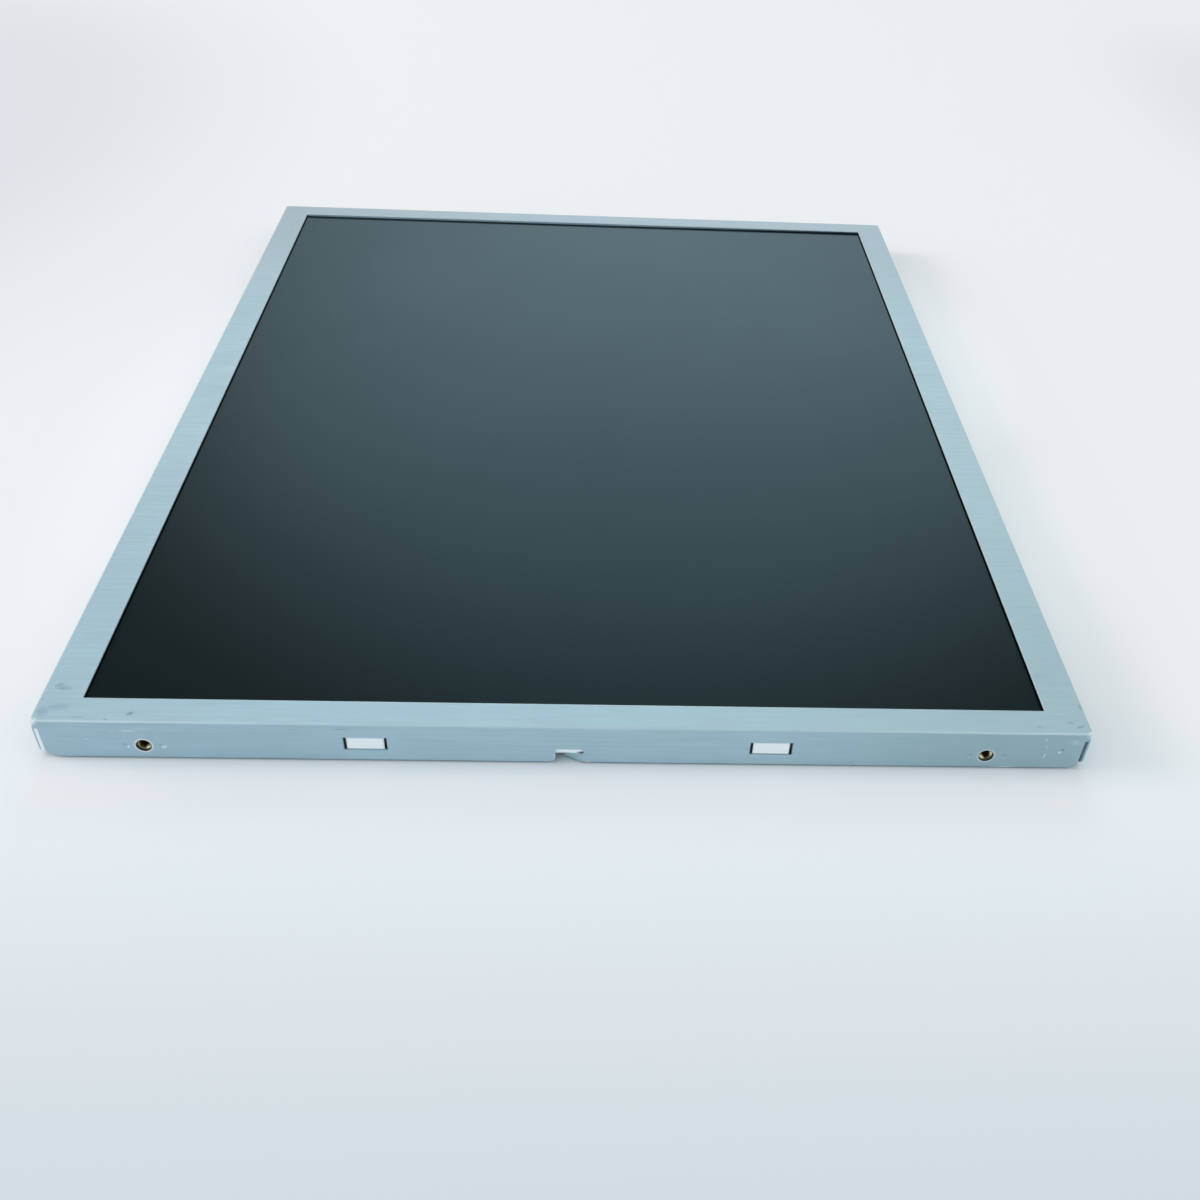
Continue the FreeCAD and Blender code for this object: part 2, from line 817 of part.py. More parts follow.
def screw_holes(z_range, radius):
    """Upright rods at every screw place, to cut a hole or to stand as a boss."""
    height = z_range[1] - z_range[0]
    return [drum(radius, radius, height, Vector(x, y, z_range[0])) for x, y in screw_places()]


def bead(x):
    """A stiffening bead of the chassis plate: what is added behind it and cut in front."""
    inner_length = bead_length - 2 * bead_draft
    inner_width = bead_width - 2 * bead_draft
    swell = between(slot_ring(inner_length, inner_width, plate_bottom - bead_depth),
                    slot_ring(bead_length, bead_width, plate_bottom))
    hollow = between(slot_ring(inner_length, inner_width, plate_top - bead_depth),
                     slot_ring(bead_length, bead_width, plate_top))
    for part in (swell, hollow):
        part.translate(Vector(x, 0, 0))
    return swell, hollow


def chassis_hook_windows():
    """Openings of the long walls for the frame's hooks."""
    top = chassis_wall_top - hook_drop + hook_clearance
    half = hook_width / 2 + hook_clearance
    heights = (top - hook_height - 2 * hook_clearance, top)
    return [part for y in row(hook_count, hook_pitch)
            for part in both_ends(box((chassis_x - chassis_sheet - past, chassis_x + past),
                                      (y - half, y + half), heights))]


def rear_chassis():
    body = rounded_block(chassis_x, chassis_y, (0, chassis_wall_top), chassis_corner)
    inside_x = chassis_x - chassis_sheet
    inside_corner = chassis_corner - chassis_sheet
    tray = rounded_block(inside_x, chassis_in_y, (plate_top, chassis_wall_top), inside_corner)
    channel = rounded_block(inside_x, chassis_in_y, (chassis_sheet, plate_top), inside_corner)
    island = box((-chassis_x, recess_x + chassis_sheet),
                 (-recess_y - chassis_sheet, recess_y + chassis_sheet), (0, plate_top))
    recess = box((-chassis_x - past, recess_x), (-recess_y, recess_y), (-past, plate_bottom))
    body = body.cut([tray, channel.cut(island), recess])
    beads = [bead(bead_middle + x) for x in row(bead_count, bead_pitch)]
    bosses = screw_holes((board_top, plate_bottom), boss_diameter / 2)
    taps = screw_holes((board_top, plate_top), screw_diameter / 2 + screw_fit)
    body = body.fuse([swell for swell, hollow in beads] + bosses)
    body = body.cut([hollow for swell, hollow in beads] + taps + chassis_hook_windows())
    return body.cut(lead_exits((chassis_in_y - past, chassis_y + past))).removeSplitter()


# Side mounting points

def nut_plate(x):
    """A steel plate clinched behind the short wall, with a hole for the threaded insert."""
    half = nut_plate_length / 2
    inner = -bezel_in_y + nut_plate_thickness
    plate = box((x - half, x + half), (-bezel_in_y, inner),
                (mount_level - nut_plate_height / 2, mount_level + nut_plate_height / 2))
    through = nut_plate_thickness + 2 * past
    start = -bezel_in_y - past
    hole = insert_diameter / 2 + insert_fit
    clinch = dimple_diameter / 2 + dimple_clearance
    spots = [(0, hole, facet_count)] + [(dx, clinch, hidden_facet_count) for dx in row(2, dimple_spread)]
    axis = Vector(0, 1, 0)
    return plate.cut([drum(radius, radius, through, Vector(x + dx, start, mount_level), axis, sides)
                      for dx, radius, sides in spots])


def threaded_insert(x):
    """A brass bush through the nut plate, with a six-sided flange behind it."""
    mouth = -half_length + insert_recess
    seat = -bezel_in_y + nut_plate_thickness
    end = mouth + insert_length
    axis = Vector(0, 1, 0)
    radius = insert_diameter / 2
    neck = drum(radius, radius, seat - mouth, Vector(x, mouth, mount_level), axis)
    wide = insert_flange / 2
    flange = drum(wide, wide, end - seat, Vector(x, seat, mount_level), axis, 6)
    bore = Part.makeCylinder(mount_bore / 2, insert_length, Vector(x, mouth, mount_level), axis)
    return neck.fuse(flange).cut(bore).removeSplitter()


# Driver films

def source_film():
    """A film from the glass over the frame, down its outside and under the source board."""
    outer = frame_x - driver_chip_thickness - film_gap - film_thickness / 2
    low = board_bottom - film_thickness / 2
    path = [(-filter_x - bond_ledge + film_bond, film_level), (-outer, film_level),
            (-outer, low), (source_left + film_bond, low)]
    return strip(path, film_bend, film_thickness, source_film_width, True)


def gate_film():
    """A short film from the far edge of the glass down the outside of the frame."""
    outer = frame_y - driver_chip_thickness - film_gap - film_thickness / 2
    path = [(array_far - film_bond, film_level), (outer, film_level),
            (outer, film_level - gate_film_drop)]
    film = strip(path, film_bend, film_thickness, gate_film_width, True)
    film.rotate(Vector(0, 0, 0), Vector(0, 0, 1), 90)
    return film


def driver_chips_source():
    inner = frame_x - driver_chip_thickness - film_gap
    top = film_level - driver_chip_drop
    return [box((-inner - driver_chip_thickness, -inner),
                (y - driver_chip_length / 2, y + driver_chip_length / 2),
                (top - driver_chip_height, top))
            for y in row(source_film_count, source_film_pitch)]


def driver_chips_gate():
    inner = frame_y - driver_chip_thickness - film_gap
    top = film_level - driver_chip_drop
    return [box((x - driver_chip_length / 2, x + driver_chip_length / 2),
                (inner, inner + driver_chip_thickness), (top - driver_chip_height, top))
            for x in row(gate_film_count, gate_film_pitch)]


# Circuit boards and their shield

def board(x_range, length):
    """A circuit board with clearance holes for the screws."""
    heights = (board_bottom, board_top)
    plain = box(x_range, (-length / 2, length / 2), heights)
    return plain.cut(screw_holes(heights, screw_diameter / 2 + screw_clearance))


def board_insulator():
    """A plastic film on the chassis, above both boards."""
    heights = (plate_bottom - insulator_thickness, plate_bottom)
    half_strip = source_board_length / 2
    half_block = control_board_length / 2
    strip_part = box((source_left, source_right), (-half_strip, half_strip), heights)
    block_part = box((source_right, control_right), (-half_block, half_block), heights)
    joined = strip_part.fuse(block_part).removeSplitter()
    return joined.cut(screw_holes(heights, boss_diameter / 2 + screw_clearance))


def board_link(y):
    """A flat flexible strip from the source board to the control board."""
    return box((source_right - link_overlap, control_left + link_overlap),
               (y - link_width / 2, y + link_width / 2), (board_bottom - film_thickness, board_bottom))


def shield_solid(inset, z_range):
    """The shield's plan, a long strip with a block beside it, drawn in by an inset except at the left."""
    left = shield_left - past if inset else shield_left
    half_strip = shield_strip_y - inset
    half_block = shield_block_y - inset
    strip_part = box((left, shield_waist - inset), (-half_strip, half_strip), z_range)
    block_part = box((left, shield_right - inset), (-half_block, half_block), z_range)
    return strip_part.fuse(block_part)


def shield_dimples():
    """Hollow cones that carry the shield to the boards at the screws."""
    wide = shield_dimple / 2
    narrow = wide - shield_dimple_taper
    cones = []
    hollows = []
    for x, y in screw_places():
        foot = Vector(x, y, 0)
        up = Vector(0, 0, 1)
        cones.append(drum(wide, narrow, board_bottom, foot, up, broad_facet_count))
        hollows.append(drum(wide - shield_sheet, narrow - shield_sheet, board_bottom - shield_sheet,
                            foot, up, broad_facet_count))
    return cones, hollows


def board_shield():
    body = shield_solid(0, (0, shield_flange_top))
    body = body.cut(shield_solid(shield_sheet, (shield_sheet, shield_flange_top)))
    cones, hollows = shield_dimples()
    holes = screw_holes((-past, board_bottom + past), screw_diameter / 2 + screw_clearance)
    half = connector_length / 2 + connector_notch_margin
    notch = box((connector_face - connector_depth - connector_notch_margin, shield_right + past),
                (-half, half), (-past, shield_flange_top + past))
    return body.fuse(cones).cut(hollows + holes + [notch]).removeSplitter()


def signal_connector():
    """The socket on the edge of the control board that takes the signal cable."""
    bottom = board_bottom - connector_height
    middle = (bottom + board_bottom) / 2
    body = box((connector_face - connector_depth, connector_face),
               (-connector_length / 2, connector_length / 2), (bottom, board_bottom))
    socket = box((connector_face - socket_depth, connector_face + past),
                 (-socket_length / 2, socket_length / 2),
                 (middle - socket_height / 2, middle + socket_height / 2))
    return body.cut(socket)


def signal_contacts():
    """Blades that stand in the socket."""
    top = board_bottom - connector_height / 2 + socket_height / 2
    start = connector_face - socket_depth
    return [box((start, start + contact_length), (y - contact_width / 2, y + contact_width / 2),
                (top - contact_thickness, top)) for y in row(contact_count, contact_pitch)]


def board_package(dx, y, size_x, size_y, height):
    """A packaged part on the rear face of the control board."""
    return block(size_x / 2, size_y / 2, (board_bottom - height, board_bottom), control_middle + dx, y)


def shield_screw(x, y):
    """A pan-head screw with a cross recess, its head inside the shield's dimple."""
    seat = board_bottom - shield_sheet
    low = seat - screw_head_height
    wide = screw_head / 2
    rim = low + screw_head_round
    crown = drum(wide - screw_head_round, wide, screw_head_round, Vector(x, y, low))
    head = drum(wide, wide, seat - rim, Vector(x, y, rim))
    radius = screw_diameter / 2
    shank = drum(radius, radius, plate_top - seat, Vector(x, y, seat), sides=hidden_facet_count)
    arm = screw_recess_length / 2
    width = screw_recess_width / 2
    heights = (low - past, low + screw_recess_depth)
    cross = [block(arm, width, heights, x, y), block(width, arm, heights, x, y)]
    return crown.fuse([head, shank]).cut(cross).removeSplitter()


def numbered(name, shapes):
    """Separate nodes for repeated pieces: name_1, name_2 and so on."""
    return {f"{name}_{i + 1}": shape for i, shape in enumerate(shapes)}


def all_nodes():
    """Every node of the module by name."""
    group = Part.makeCompound
    cell_heights = (polarizer_bottom, polarizer_top)
    mounts = row(2, mount_spread)
    nodes = {
        "front_bezel": front_bezel(),
        "cell_gaskets": group(gaskets()),
        "front_polarizer": block(polarizer_x, polarizer_y, cell_heights),
        "color_filter_glass": block(filter_x, filter_y, (filter_bottom, polarizer_bottom)),
        "array_glass": array_glass(),
        "rear_polarizer": block(rear_polarizer_x, rear_polarizer_y,
                                (shelf_top - rear_polarizer_thickness, shelf_top)),
        "mold_frame": mold_frame(),
        "upper_diffuser": optical_sheet(upper_diffuser_bottom, upper_diffuser_thickness),
        "prism_sheet": optical_sheet(prism_bottom, prism_sheet_thickness),
        "lower_diffuser": optical_sheet(guide_top, lower_diffuser_thickness),
        "light_guide": light_guide(),
        "reflector_sheet": optical_sheet(plate_top, reflector_thickness),
        "light_guide_stops": group(guide_stops()),
        "rear_chassis": rear_chassis(),
        "board_insulator": board_insulator(),
        "source_board": board((source_left, source_right), source_board_length),
        "control_board": board((control_left, control_right), control_board_length),
        "signal_connector": signal_connector(),
        "signal_contacts": group(signal_contacts()),
        "timing_controller": board_package(*controller_package),
        "power_parts": group([board_package(*p) for p in power_packages]),
        "board_shield": board_shield(),
        "shield_screws": group([shield_screw(x, y) for x, y in screw_places()]),
        "source_driver_chips": group(driver_chips_source()),
        "gate_driver_chips": group(driver_chips_gate()),
        "nut_plates": group([p for x in mounts for p in both_ends(nut_plate(x))]),
        "threaded_inserts": group([p for x in mounts for p in both_ends(threaded_insert(x))]),
    }
    channel = lamp_channel()
    nodes["lamp_reflector_right"] = channel
    nodes["lamp_reflector_left"] = half_turn(channel)
    sides = (-lamp_x, lamp_x)
    nodes.update(numbered("lamp", [lamp_tube(x, z) for x in sides for z in lamp_levels()]))
    nodes.update(numbered("lamp_holder", [h for x in sides for h in both_ends(lamp_holder(x))]))
    film = source_film()
    places = row(source_film_count, source_film_pitch)
    nodes.update(numbered("source_film", [moved(film, y=y) for y in places]))
    film = gate_film()
    places = row(gate_film_count, gate_film_pitch)
    nodes.update(numbered("gate_film", [moved(film, x=x) for x in places]))
    nodes.update(numbered("board_link", [board_link(y) for y in row(2, link_spread)]))
    return nodes


def main():
    os.makedirs("parts", exist_ok=True)
    print(f"module {2 * half_width:.2f} x {2 * half_length:.2f} x {front_face:.2f} mm")
    for name, shape in all_nodes().items():
        shape.exportStep(f"parts/{name}.step")


main()
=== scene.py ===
import json
import math

import bmesh
import bpy
from mathutils import Matrix, Vector

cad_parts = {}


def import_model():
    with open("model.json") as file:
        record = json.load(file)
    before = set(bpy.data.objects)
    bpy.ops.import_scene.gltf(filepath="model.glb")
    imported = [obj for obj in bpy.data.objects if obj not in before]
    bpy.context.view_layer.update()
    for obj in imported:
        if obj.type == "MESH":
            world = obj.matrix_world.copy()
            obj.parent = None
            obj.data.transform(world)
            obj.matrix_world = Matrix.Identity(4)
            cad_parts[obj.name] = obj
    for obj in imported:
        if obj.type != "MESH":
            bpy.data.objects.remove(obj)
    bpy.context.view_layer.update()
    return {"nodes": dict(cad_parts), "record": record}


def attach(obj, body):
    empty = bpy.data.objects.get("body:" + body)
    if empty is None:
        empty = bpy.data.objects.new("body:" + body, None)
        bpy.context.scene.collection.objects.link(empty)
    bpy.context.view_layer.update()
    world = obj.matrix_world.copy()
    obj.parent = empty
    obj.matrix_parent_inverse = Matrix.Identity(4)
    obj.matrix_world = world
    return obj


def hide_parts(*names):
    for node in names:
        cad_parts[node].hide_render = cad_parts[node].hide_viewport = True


# Looks of a flat display module that lies face up on a pale floor. Sizes are in metres.
# A range gives a low and a high value, and then what each of them becomes.

# Camera, fitted to the outline of the module
camera_place = Vector((0.00292, -0.42118, 0.26112))
camera_right = Vector((0.99871, -0.02508, 0.04409))
camera_up = Vector((-0.01788, 0.63928, 0.76877))
camera_forward = Vector((0.04747, 0.76857, -0.63801))
camera_lens = 36.987
camera_sensor = 36.0
camera_shift = (-0.0361, 0.0021)
camera_clip = 0.01

# Sky with a window in a wall, and the lamp
sky_top = (1.26, 1.12, 1.04)
sky_rim = (1.12, 1.12, 1.12)
sky_range = (0.1, 0.9, 0, 1)
wall_colour = (0.30, 0.38, 0.39)
wall_range = (0.70, 0.92, 0, 1)
glow_colour = (1.66, 2.40, 2.80)
glow_way = Vector((0.030, 0.853, 0.522)).normalized()
glow_squash = (0.62, 1.0, 1.0)
glow_range = (0.955, 1.0, 0, 1)
room_colour = (0.56, 0.80, 0.905)
room_way = (0.0, -1.0, 0.0)
room_range = (0.15, 0.85, 0, 1)
lamp_place = Vector((-4.8, 0.2, 2.1))
lamp_size = 2.2
lamp_colour = (1.0, 0.80, 0.80)
lamp_watts = 118.0

# Module
front_face = 0.0145
half_width = 0.14825
half_length = 0.17925
active_x = 0.13517
active_y = 0.16896
hole_x = 0.119
hole_z = 0.0053
hole_radius = 0.0022
bezel_bend = 0.0008

# Threaded insert
insert_neck = 0.0019
insert_recess = 0.00035
insert_flange = 0.0029
insert_length = 0.00375
insert_neck_length = 0.0015
insert_edge = 0.00016
insert_sides = 48
thread_core = 0.00132
thread_crest = 0.0016
thread_pitch = 0.0005
thread_steps = 56

# Shield screw, with the round of its head as shares of its height and radius
screw_head = 0.0022
screw_head_height = 0.0013
screw_shank = 0.0010
screw_shank_length = 0.0021
screw_sides = 40
screw_turn = 0.7
screw_round = [(1.0, 0.0), (1.0, 0.35), (0.97, 0.62), (0.86, 0.84), (0.66, 0.97), (0.45, 1.0), (0.0, 1.0)]
recess_arm = 0.0012
recess_width = 0.0007
recess_depth = 0.0006
recess_taper = 0.8

# Meshes: points closer than this are one, and edges sharper than this many degrees stay sharp
new_point_distance = 1e-7
node_point_distance = 1e-6
sharp_angle = 35

# Noise and marks in general
even = (1, 1, 1)
noise_detail = 4.0
noise_roughness = 0.6
mark_range = (0.35, 1.0, 1, 0)

# Marks: x, y on a lying face or x, z on a standing one, the two sizes, turn, strength

# Floor, with painted shade, painted light and a painted cool tint in places
floor_size = 6.0
floor_roughness = 0.9
floor_far_colour = (0.770, 0.800, 0.818)
# Painted shade: the floor is darker towards the viewer
floor_near_shade_colour = (0.575, 0.645, 0.690)
floor_near_range = (-0.33, -0.17, 1, 0)
floor_front_range = (-1.1, -0.4, 0, 1)
floor_side_range = (0.3, 1.0, 1, 0)
floor_mark_depth = 1.0
# Painted shade: dimmer places far to the left and far to the right
painted_floor_shade_colour = (0.655, 0.692, 0.728)
painted_floor_shade = [
    (-0.46, 0.30, 0.34, 0.50, 0.0, 1.0),
    (0.47, 0.42, 0.14, 0.30, 0.0, 0.5),
]
# Painted light: paler places beside the part, which weaken its shadow there
painted_floor_light_colour = (0.885, 0.920, 0.940)
painted_floor_light = [
    (0.140, 0.06, 0.060, 0.14, 0.0, 1.0),
    (0.140, -0.05, 0.060, 0.13, 0.0, 0.65),
    (-0.135, -0.03, 0.070, 0.20, 0.0, 0.42),
]
# Painted shade: a cooler tint on the floor in front of the part
painted_floor_cool_shade_colour = (0.732, 0.792, 0.830)
painted_floor_cool_shade = [
    (0.0, -0.205, 0.36, 0.07, 0.0, 1.0),
]

# Plating of the bezel, with painted light and painted shade by place: paler on the left and towards the
# middle, darker on the right, greyer towards the far end, and set apart on the short walls
plating_metal = 0.45
lit_plating_left = (0.420, 0.588, 0.682)
shaded_plating_right = (0.385, 0.530, 0.575)
lit_plating_middle = (0.555, 0.660, 0.680)
shaded_plating_far = (0.432, 0.486, 0.510)
plating_side_range = (-half_width, half_width, 0, 1)
plating_middle_range = (-half_length, 0.0, 0, 0.5)
plating_far_range = (0.03, half_length, 0, 1)
# Painted shade on the short walls, darkest towards the right
shaded_end_wall_left = (0.400, 0.548, 0.632)
shaded_end_wall_middle = (0.430, 0.582, 0.655)
shaded_end_wall_right = (0.343, 0.471, 0.522)
end_wall_range = (0.5, 0.9, 0, 1)
end_wall_middle_range = (0.03, 0.12, 1, 0)

# Grain of the bezel: clouds, streaks along X and fine grain
cloud_colour = (0.32, 0.42, 0.47)
cloud_scale = 35.0
cloud_range = (0.3, 0.7, 0.2, 0)
streak_colour = (0.345, 0.46, 0.525)
streak_scale = 900.0
streak_stretch = (0.06, 1, 1)
streak_detail = 5.0
streak_range = (0.35, 0.7, 0, 0.38)
grain_scale = 5200.0
grain_detail = 3.0
grain_relief = 0.000004
gloss_range = (0.7, 1.3, 0.48, 0.58)

# Painted highlight on the front folds of the bezel, and a painted highlight and painted shade at the edges
# of its side holes
fold_highlight_colour = (0.80, 0.86, 0.88)
fold_low_range = (0.25, 0.5, 0, 1)
fold_high_range = (0.85, 0.97, 1, 0)
fold_side_range = (0.05, half_width, 0.04, 0.34)
# Painted highlight round the side holes, and painted shade on the walls inside them
rim_highlight_colour = (0.83, 0.84, 0.78)
rim_inner_range = (hole_radius, 0.0023, 0, 1)
rim_outer_range = (0.0024, 0.0029, 0.85, 0)
rim_side_range = (-hole_x, hole_x, 1, 0.5)
hole_wall_shade_colour = (0.020, 0.022, 0.016)
hole_wall_range = (hole_radius, 0.00222, 1, 0)

# Wear of the bezel, with painted highlights and painted shade among the dark and pale marks
patchy_marks_depth = 0.001
patch_scale = 1500.0
patch_detail = 5.0
dark_mark_colour = (0.195, 0.285, 0.400)
dark_mark_range = (0.3, 0.6, 0.45, 1.0)
pale_mark_colour = (0.88, 0.92, 0.94)
pale_mark_range = (0.35, 0.6, 0.25, 1.0)
front_stains = [
    (-0.1455, -0.1756, 0.0022, 0.0026, 0.5, 0.42),
    (-0.1421, -0.1738, 0.0044, 0.0020, 0.15, 0.36),
    (-0.1427, -0.1662, 0.0034, 0.0012, -0.15, 0.50),
    (-0.1443, -0.1650, 0.0016, 0.0011, 0.5, 0.55),
    (-0.1218, -0.1760, 0.0015, 0.0009, 0.5, 0.85),
    (-0.1278, -0.1784, 0.0008, 0.0004, 0.0, 0.70),
    (-0.1355, -0.1776, 0.0024, 0.0004, 0.0, 0.45),
    (0.1452, -0.1763, 0.0018, 0.0006, 0.3, 0.70),
    (0.1427, -0.1747, 0.0012, 0.0007, -0.3, 0.55),
    (0.1332, -0.1765, 0.0010, 0.0006, -0.5, 0.60),
    (0.1473, -0.1682, 0.0006, 0.0016, 0.1, 0.60),
]
wall_dark_marks = [
    # Painted shade on the upper side of the corner dimple
    (0.1407, 0.0081, 0.0009, 0.00060, 0.0, 0.70),
    (-0.0641, front_face - 0.00185, 0.0030, 0.00022, 0.0, 0.85),
    (-0.0770, front_face - 0.00205, 0.0020, 0.00018, 0.0, 0.70),
]
front_pale_marks = [
    (-0.1420, 0.1513, 0.0007, 0.0007, 0.0, 0.80),
    # Painted highlight along the near edge of the window
    (0.0, -0.1700, 0.165, 0.00034, 0.0, 0.40),
]
wall_pale_marks = [
    (-0.1221, front_face - 0.0035, 0.0036, 0.00022, 0.0, 0.80),
    (-0.1265, front_face - 0.0038, 0.0016, 0.00016, 0.0, 0.60),
    (-0.1185, front_face - 0.0026, 0.0046, 0.00013, 0.0, 0.55),
    (-0.1088, front_face - 0.0028, 0.0042, 0.00011, 0.0, 0.50),
    (-0.0990, front_face - 0.0022, 0.0032, 0.00011, 0.0, 0.42),
    (-0.1292, front_face - 0.0029, 0.0030, 0.00012, 0.0, 0.42),
    (-0.1362, front_face - 0.0024, 0.0026, 0.00011, 0.0, 0.38),
    (-0.1342, front_face - 0.0069, 0.0004, 0.00040, 0.0, 0.60),
    (0.1352, front_face - 0.0025, 0.0004, 0.00060, 0.0, 0.65),
    (0.1358, front_face - 0.0054, 0.0003, 0.00130, 0.0, 0.30),
    (0.1360, front_face - 0.0090, 0.0003, 0.00170, 0.15, 0.60),
    # Painted highlight on the lower side of the corner dimple
    (0.1401, 0.0069, 0.0006, 0.00045, 0.0, 0.90),
    (0.1250, front_face - 0.0136, 0.0044, 0.00022, 0.0, 0.85),
    (0.1438, front_face - 0.0034, 0.0024, 0.00130, 0.3, 0.20),
    # Painted highlights in the two dimples beside the left hole
    (-0.1233, hole_z - 0.00045, 0.00060, 0.00085, 0.0, 0.85),
    (-0.1135, hole_z - 0.00047, 0.00120, 0.00060, -0.6, 1.00),
    # Painted highlights on the left cut edge and the lower bend of the lanced tab
    (-0.00468, 0.0034, 0.00036, 0.0018, 0.0, 0.95),
    (0.0045, 0.00095, 0.0013, 0.00024, 0.0, 0.85),
]

# Painted highlight on the top edge of the lanced tab, and wear with painted highlights at the near
# corners: place, size, turn about an axis, strength
edge_pale_marks = [
    ((0.0023, -half_length + 0.0006, 0.00355), (0.0016, 0.0004, 0.0003), -0.44, 2, 0.85),
    ((-0.1478, -0.1788, front_face - 0.0006), (0.0024, 0.0016, 0.0014), 0.0, 2, 0.80),
    ((0.1478, -0.1788, front_face - 0.0008), (0.0020, 0.0016, 0.0014), 0.0, 2, 0.60),
]

# Screen
screen_colour = (0.002, 0.004, 0.004)
screen_border_colour = (0.001, 0.002, 0.002)
screen_tint = (0.67, 0.94, 1.0)
screen_ior = 1.295
screen_scale = 14.0
screen_roughness = (0.20, 0.22)
sparkle_scale = 9000.0
sparkle_detail = 2.0
sparkle_relief = 0.000003

# White frame: painted shade on the sides of the slits, and a painted highlight and painted shade on the
# strip behind the lanced tab
slit_shade_colour = (0.03, 0.04, 0.045)
slit_range = (0.8, 0.98, 0, 1)
short_wall_start = 0.1765
short_wall_end = 0.142
long_wall_start = 0.1455
long_wall_end = 0.173
strip_face = -0.1785
strip_depth = 0.002
strip_shine_colour = (0.96, 0.97, 0.98)
strip_shine = [
    (-0.0008, 0.0046, 0.0075, 0.0010, 0.0, 1.0),
]
strip_shade_colour = (0.10, 0.12, 0.13)
strip_shade = [
    (-0.0026, 0.0035, 0.0040, 0.0006, 0.0, 0.45),
    (0.0030, 0.0036, 0.0022, 0.0009, 0.0, 0.95),
]

# Foam on the side where more light comes in
foam_pale_colour = (0.58, 0.70, 0.77)
foam_range = (0.0, active_x, 1, 0)

# Painted shade in the bore of the inserts, and painted glints at its mouth
bore_range = (thread_core + insert_edge, thread_crest, 1, 0)
bore_scale = 1100.0
bore_patch_range = (0.50, 0.62, 1.0, 0.55)
bore_lit_depth = 0.0013
bore_shade_dark = (0.004, 0.001, 0.000)
bore_shade_pale = (0.060, 0.026, 0.006)
bore_shade_scale = 900.0
bore_shade_specular = 0.02
glint_colour = (1.0, 0.87, 0.54)
glint_depth = 0.003
glints = [
    (0.00125 - hole_x, hole_z - 0.00125, 0.0018, 0.0009, -0.6, 1.0),
    (-0.0014 - hole_x, hole_z + 0.0004, 0.0010, 0.0016, 0.0, 0.20),
    (hole_x - 0.00125, hole_z - 0.00115, 0.0016, 0.0012, 0.6, 1.0),
    (hole_x + 0.0014, hole_z + 0.0005, 0.0010, 0.0016, 0.3, 0.9),
]

# Galvanised sheet
zinc_colour = (0.62, 0.65, 0.67)
zinc_dark = (0.56, 0.59, 0.61)
zinc_pale = (0.66, 0.69, 0.71)
zinc_roughness = (0.34, 0.46)
spangle_scale = 160.0
zinc_grain_scale = 4000.0
zinc_relief = 0.000006

# Looks with a grain: colour, darker colour, scale, metal, roughness, and relief and stretch if not plain
mottle_coarseness = 0.05
mottle_shares = (0.6, 0.4)
mottle_limits = (0.3, 0.7)
mottle_detail = 6.0
plain_relief = 0.00001
grained_looks = {
    "plate_steel": ((0.60, 0.62, 0.63), (0.48, 0.50, 0.51), 3000, 1, (0.3, 0.42)),
    "rear_film": ((0.02, 0.022, 0.025), (0.014, 0.015, 0.017), 2000, 0, (0.2, 0.3)),
    "cell_glass": ((0.05, 0.075, 0.07), (0.035, 0.055, 0.05), 900, 0, (0.04, 0.08)),
    "foam": ((0.085, 0.115, 0.135), (0.06, 0.085, 0.10), 2600, 0, (0.85, 0.98), 0.00012),
    "frame_plastic": ((0.90, 0.91, 0.915), (0.86, 0.87, 0.875), 2500, 0, (0.42, 0.52)),
    "diffuser": ((0.86, 0.87, 0.87), (0.82, 0.83, 0.83), 5000, 0, (0.55, 0.7)),
    "acrylic": ((0.72, 0.77, 0.77), (0.68, 0.73, 0.73), 700, 0, (0.04, 0.1)),
    "white_film": ((0.88, 0.89, 0.89), (0.84, 0.85, 0.85), 3500, 0, (0.5, 0.6)),
    "lamp_glass": ((0.83, 0.83, 0.80), (0.77, 0.77, 0.74), 1500, 0, (0.1, 0.2)),
    "silicone": ((0.30, 0.31, 0.32), (0.24, 0.25, 0.26), 1800, 0, (0.5, 0.65), 0.00003),
    "lamp_foil": ((0.80, 0.81, 0.82), (0.70, 0.71, 0.72), 1600, 1, (0.12, 0.24)),
    "chip": ((0.028, 0.029, 0.031), (0.018, 0.019, 0.020), 2400, 0, (0.4, 0.6), 0.00002),
    "insulator": ((0.03, 0.03, 0.032), (0.02, 0.02, 0.022), 1500, 0, (0.25, 0.4)),
    "connector": ((0.62, 0.57, 0.46), (0.56, 0.51, 0.41), 2200, 0, (0.45, 0.55), 0.00002),
    "contact": ((0.86, 0.66, 0.32), (0.74, 0.55, 0.26), 2600, 1, (0.2, 0.32)),
    "shield": ((0.73, 0.745, 0.76), (0.66, 0.675, 0.69), 2400, 1, (0.28, 0.4), 0.000006, (1, 0.05, 1)),
    "screw": ((0.60, 0.605, 0.60), (0.50, 0.505, 0.50), 3200, 1, (0.25, 0.38)),
    "insert": ((0.62, 0.52, 0.28), (0.030, 0.022, 0.008), 1500, 1, (0.14, 0.30), 0.00002),
}

# Looks with fine lines: colour, colour of the lines, pitch, roughness
# The scale of the wave is for a pitch of one metre
wave_scale = 0.314
line_distortion = 1.2
line_detail = 1.0
line_range = (0.55, 0.7, 0, 1)
line_patch_scale = 90.0
line_patch_range = (0.4, 0.55, 0, 1)
line_relief = 0.00002
ground_scale = 300.0
ground_dark = 0.8
striped_looks = {
    "prism": ((0.78, 0.80, 0.81), (0.90, 0.91, 0.92), 0.0004, 0.2),
    "driver_film": ((0.46, 0.22, 0.045), (0.58, 0.34, 0.12), 0.0006, 0.32),
    "board": ((0.020, 0.115, 0.050), (0.035, 0.17, 0.075), 0.0011, 0.35),
}


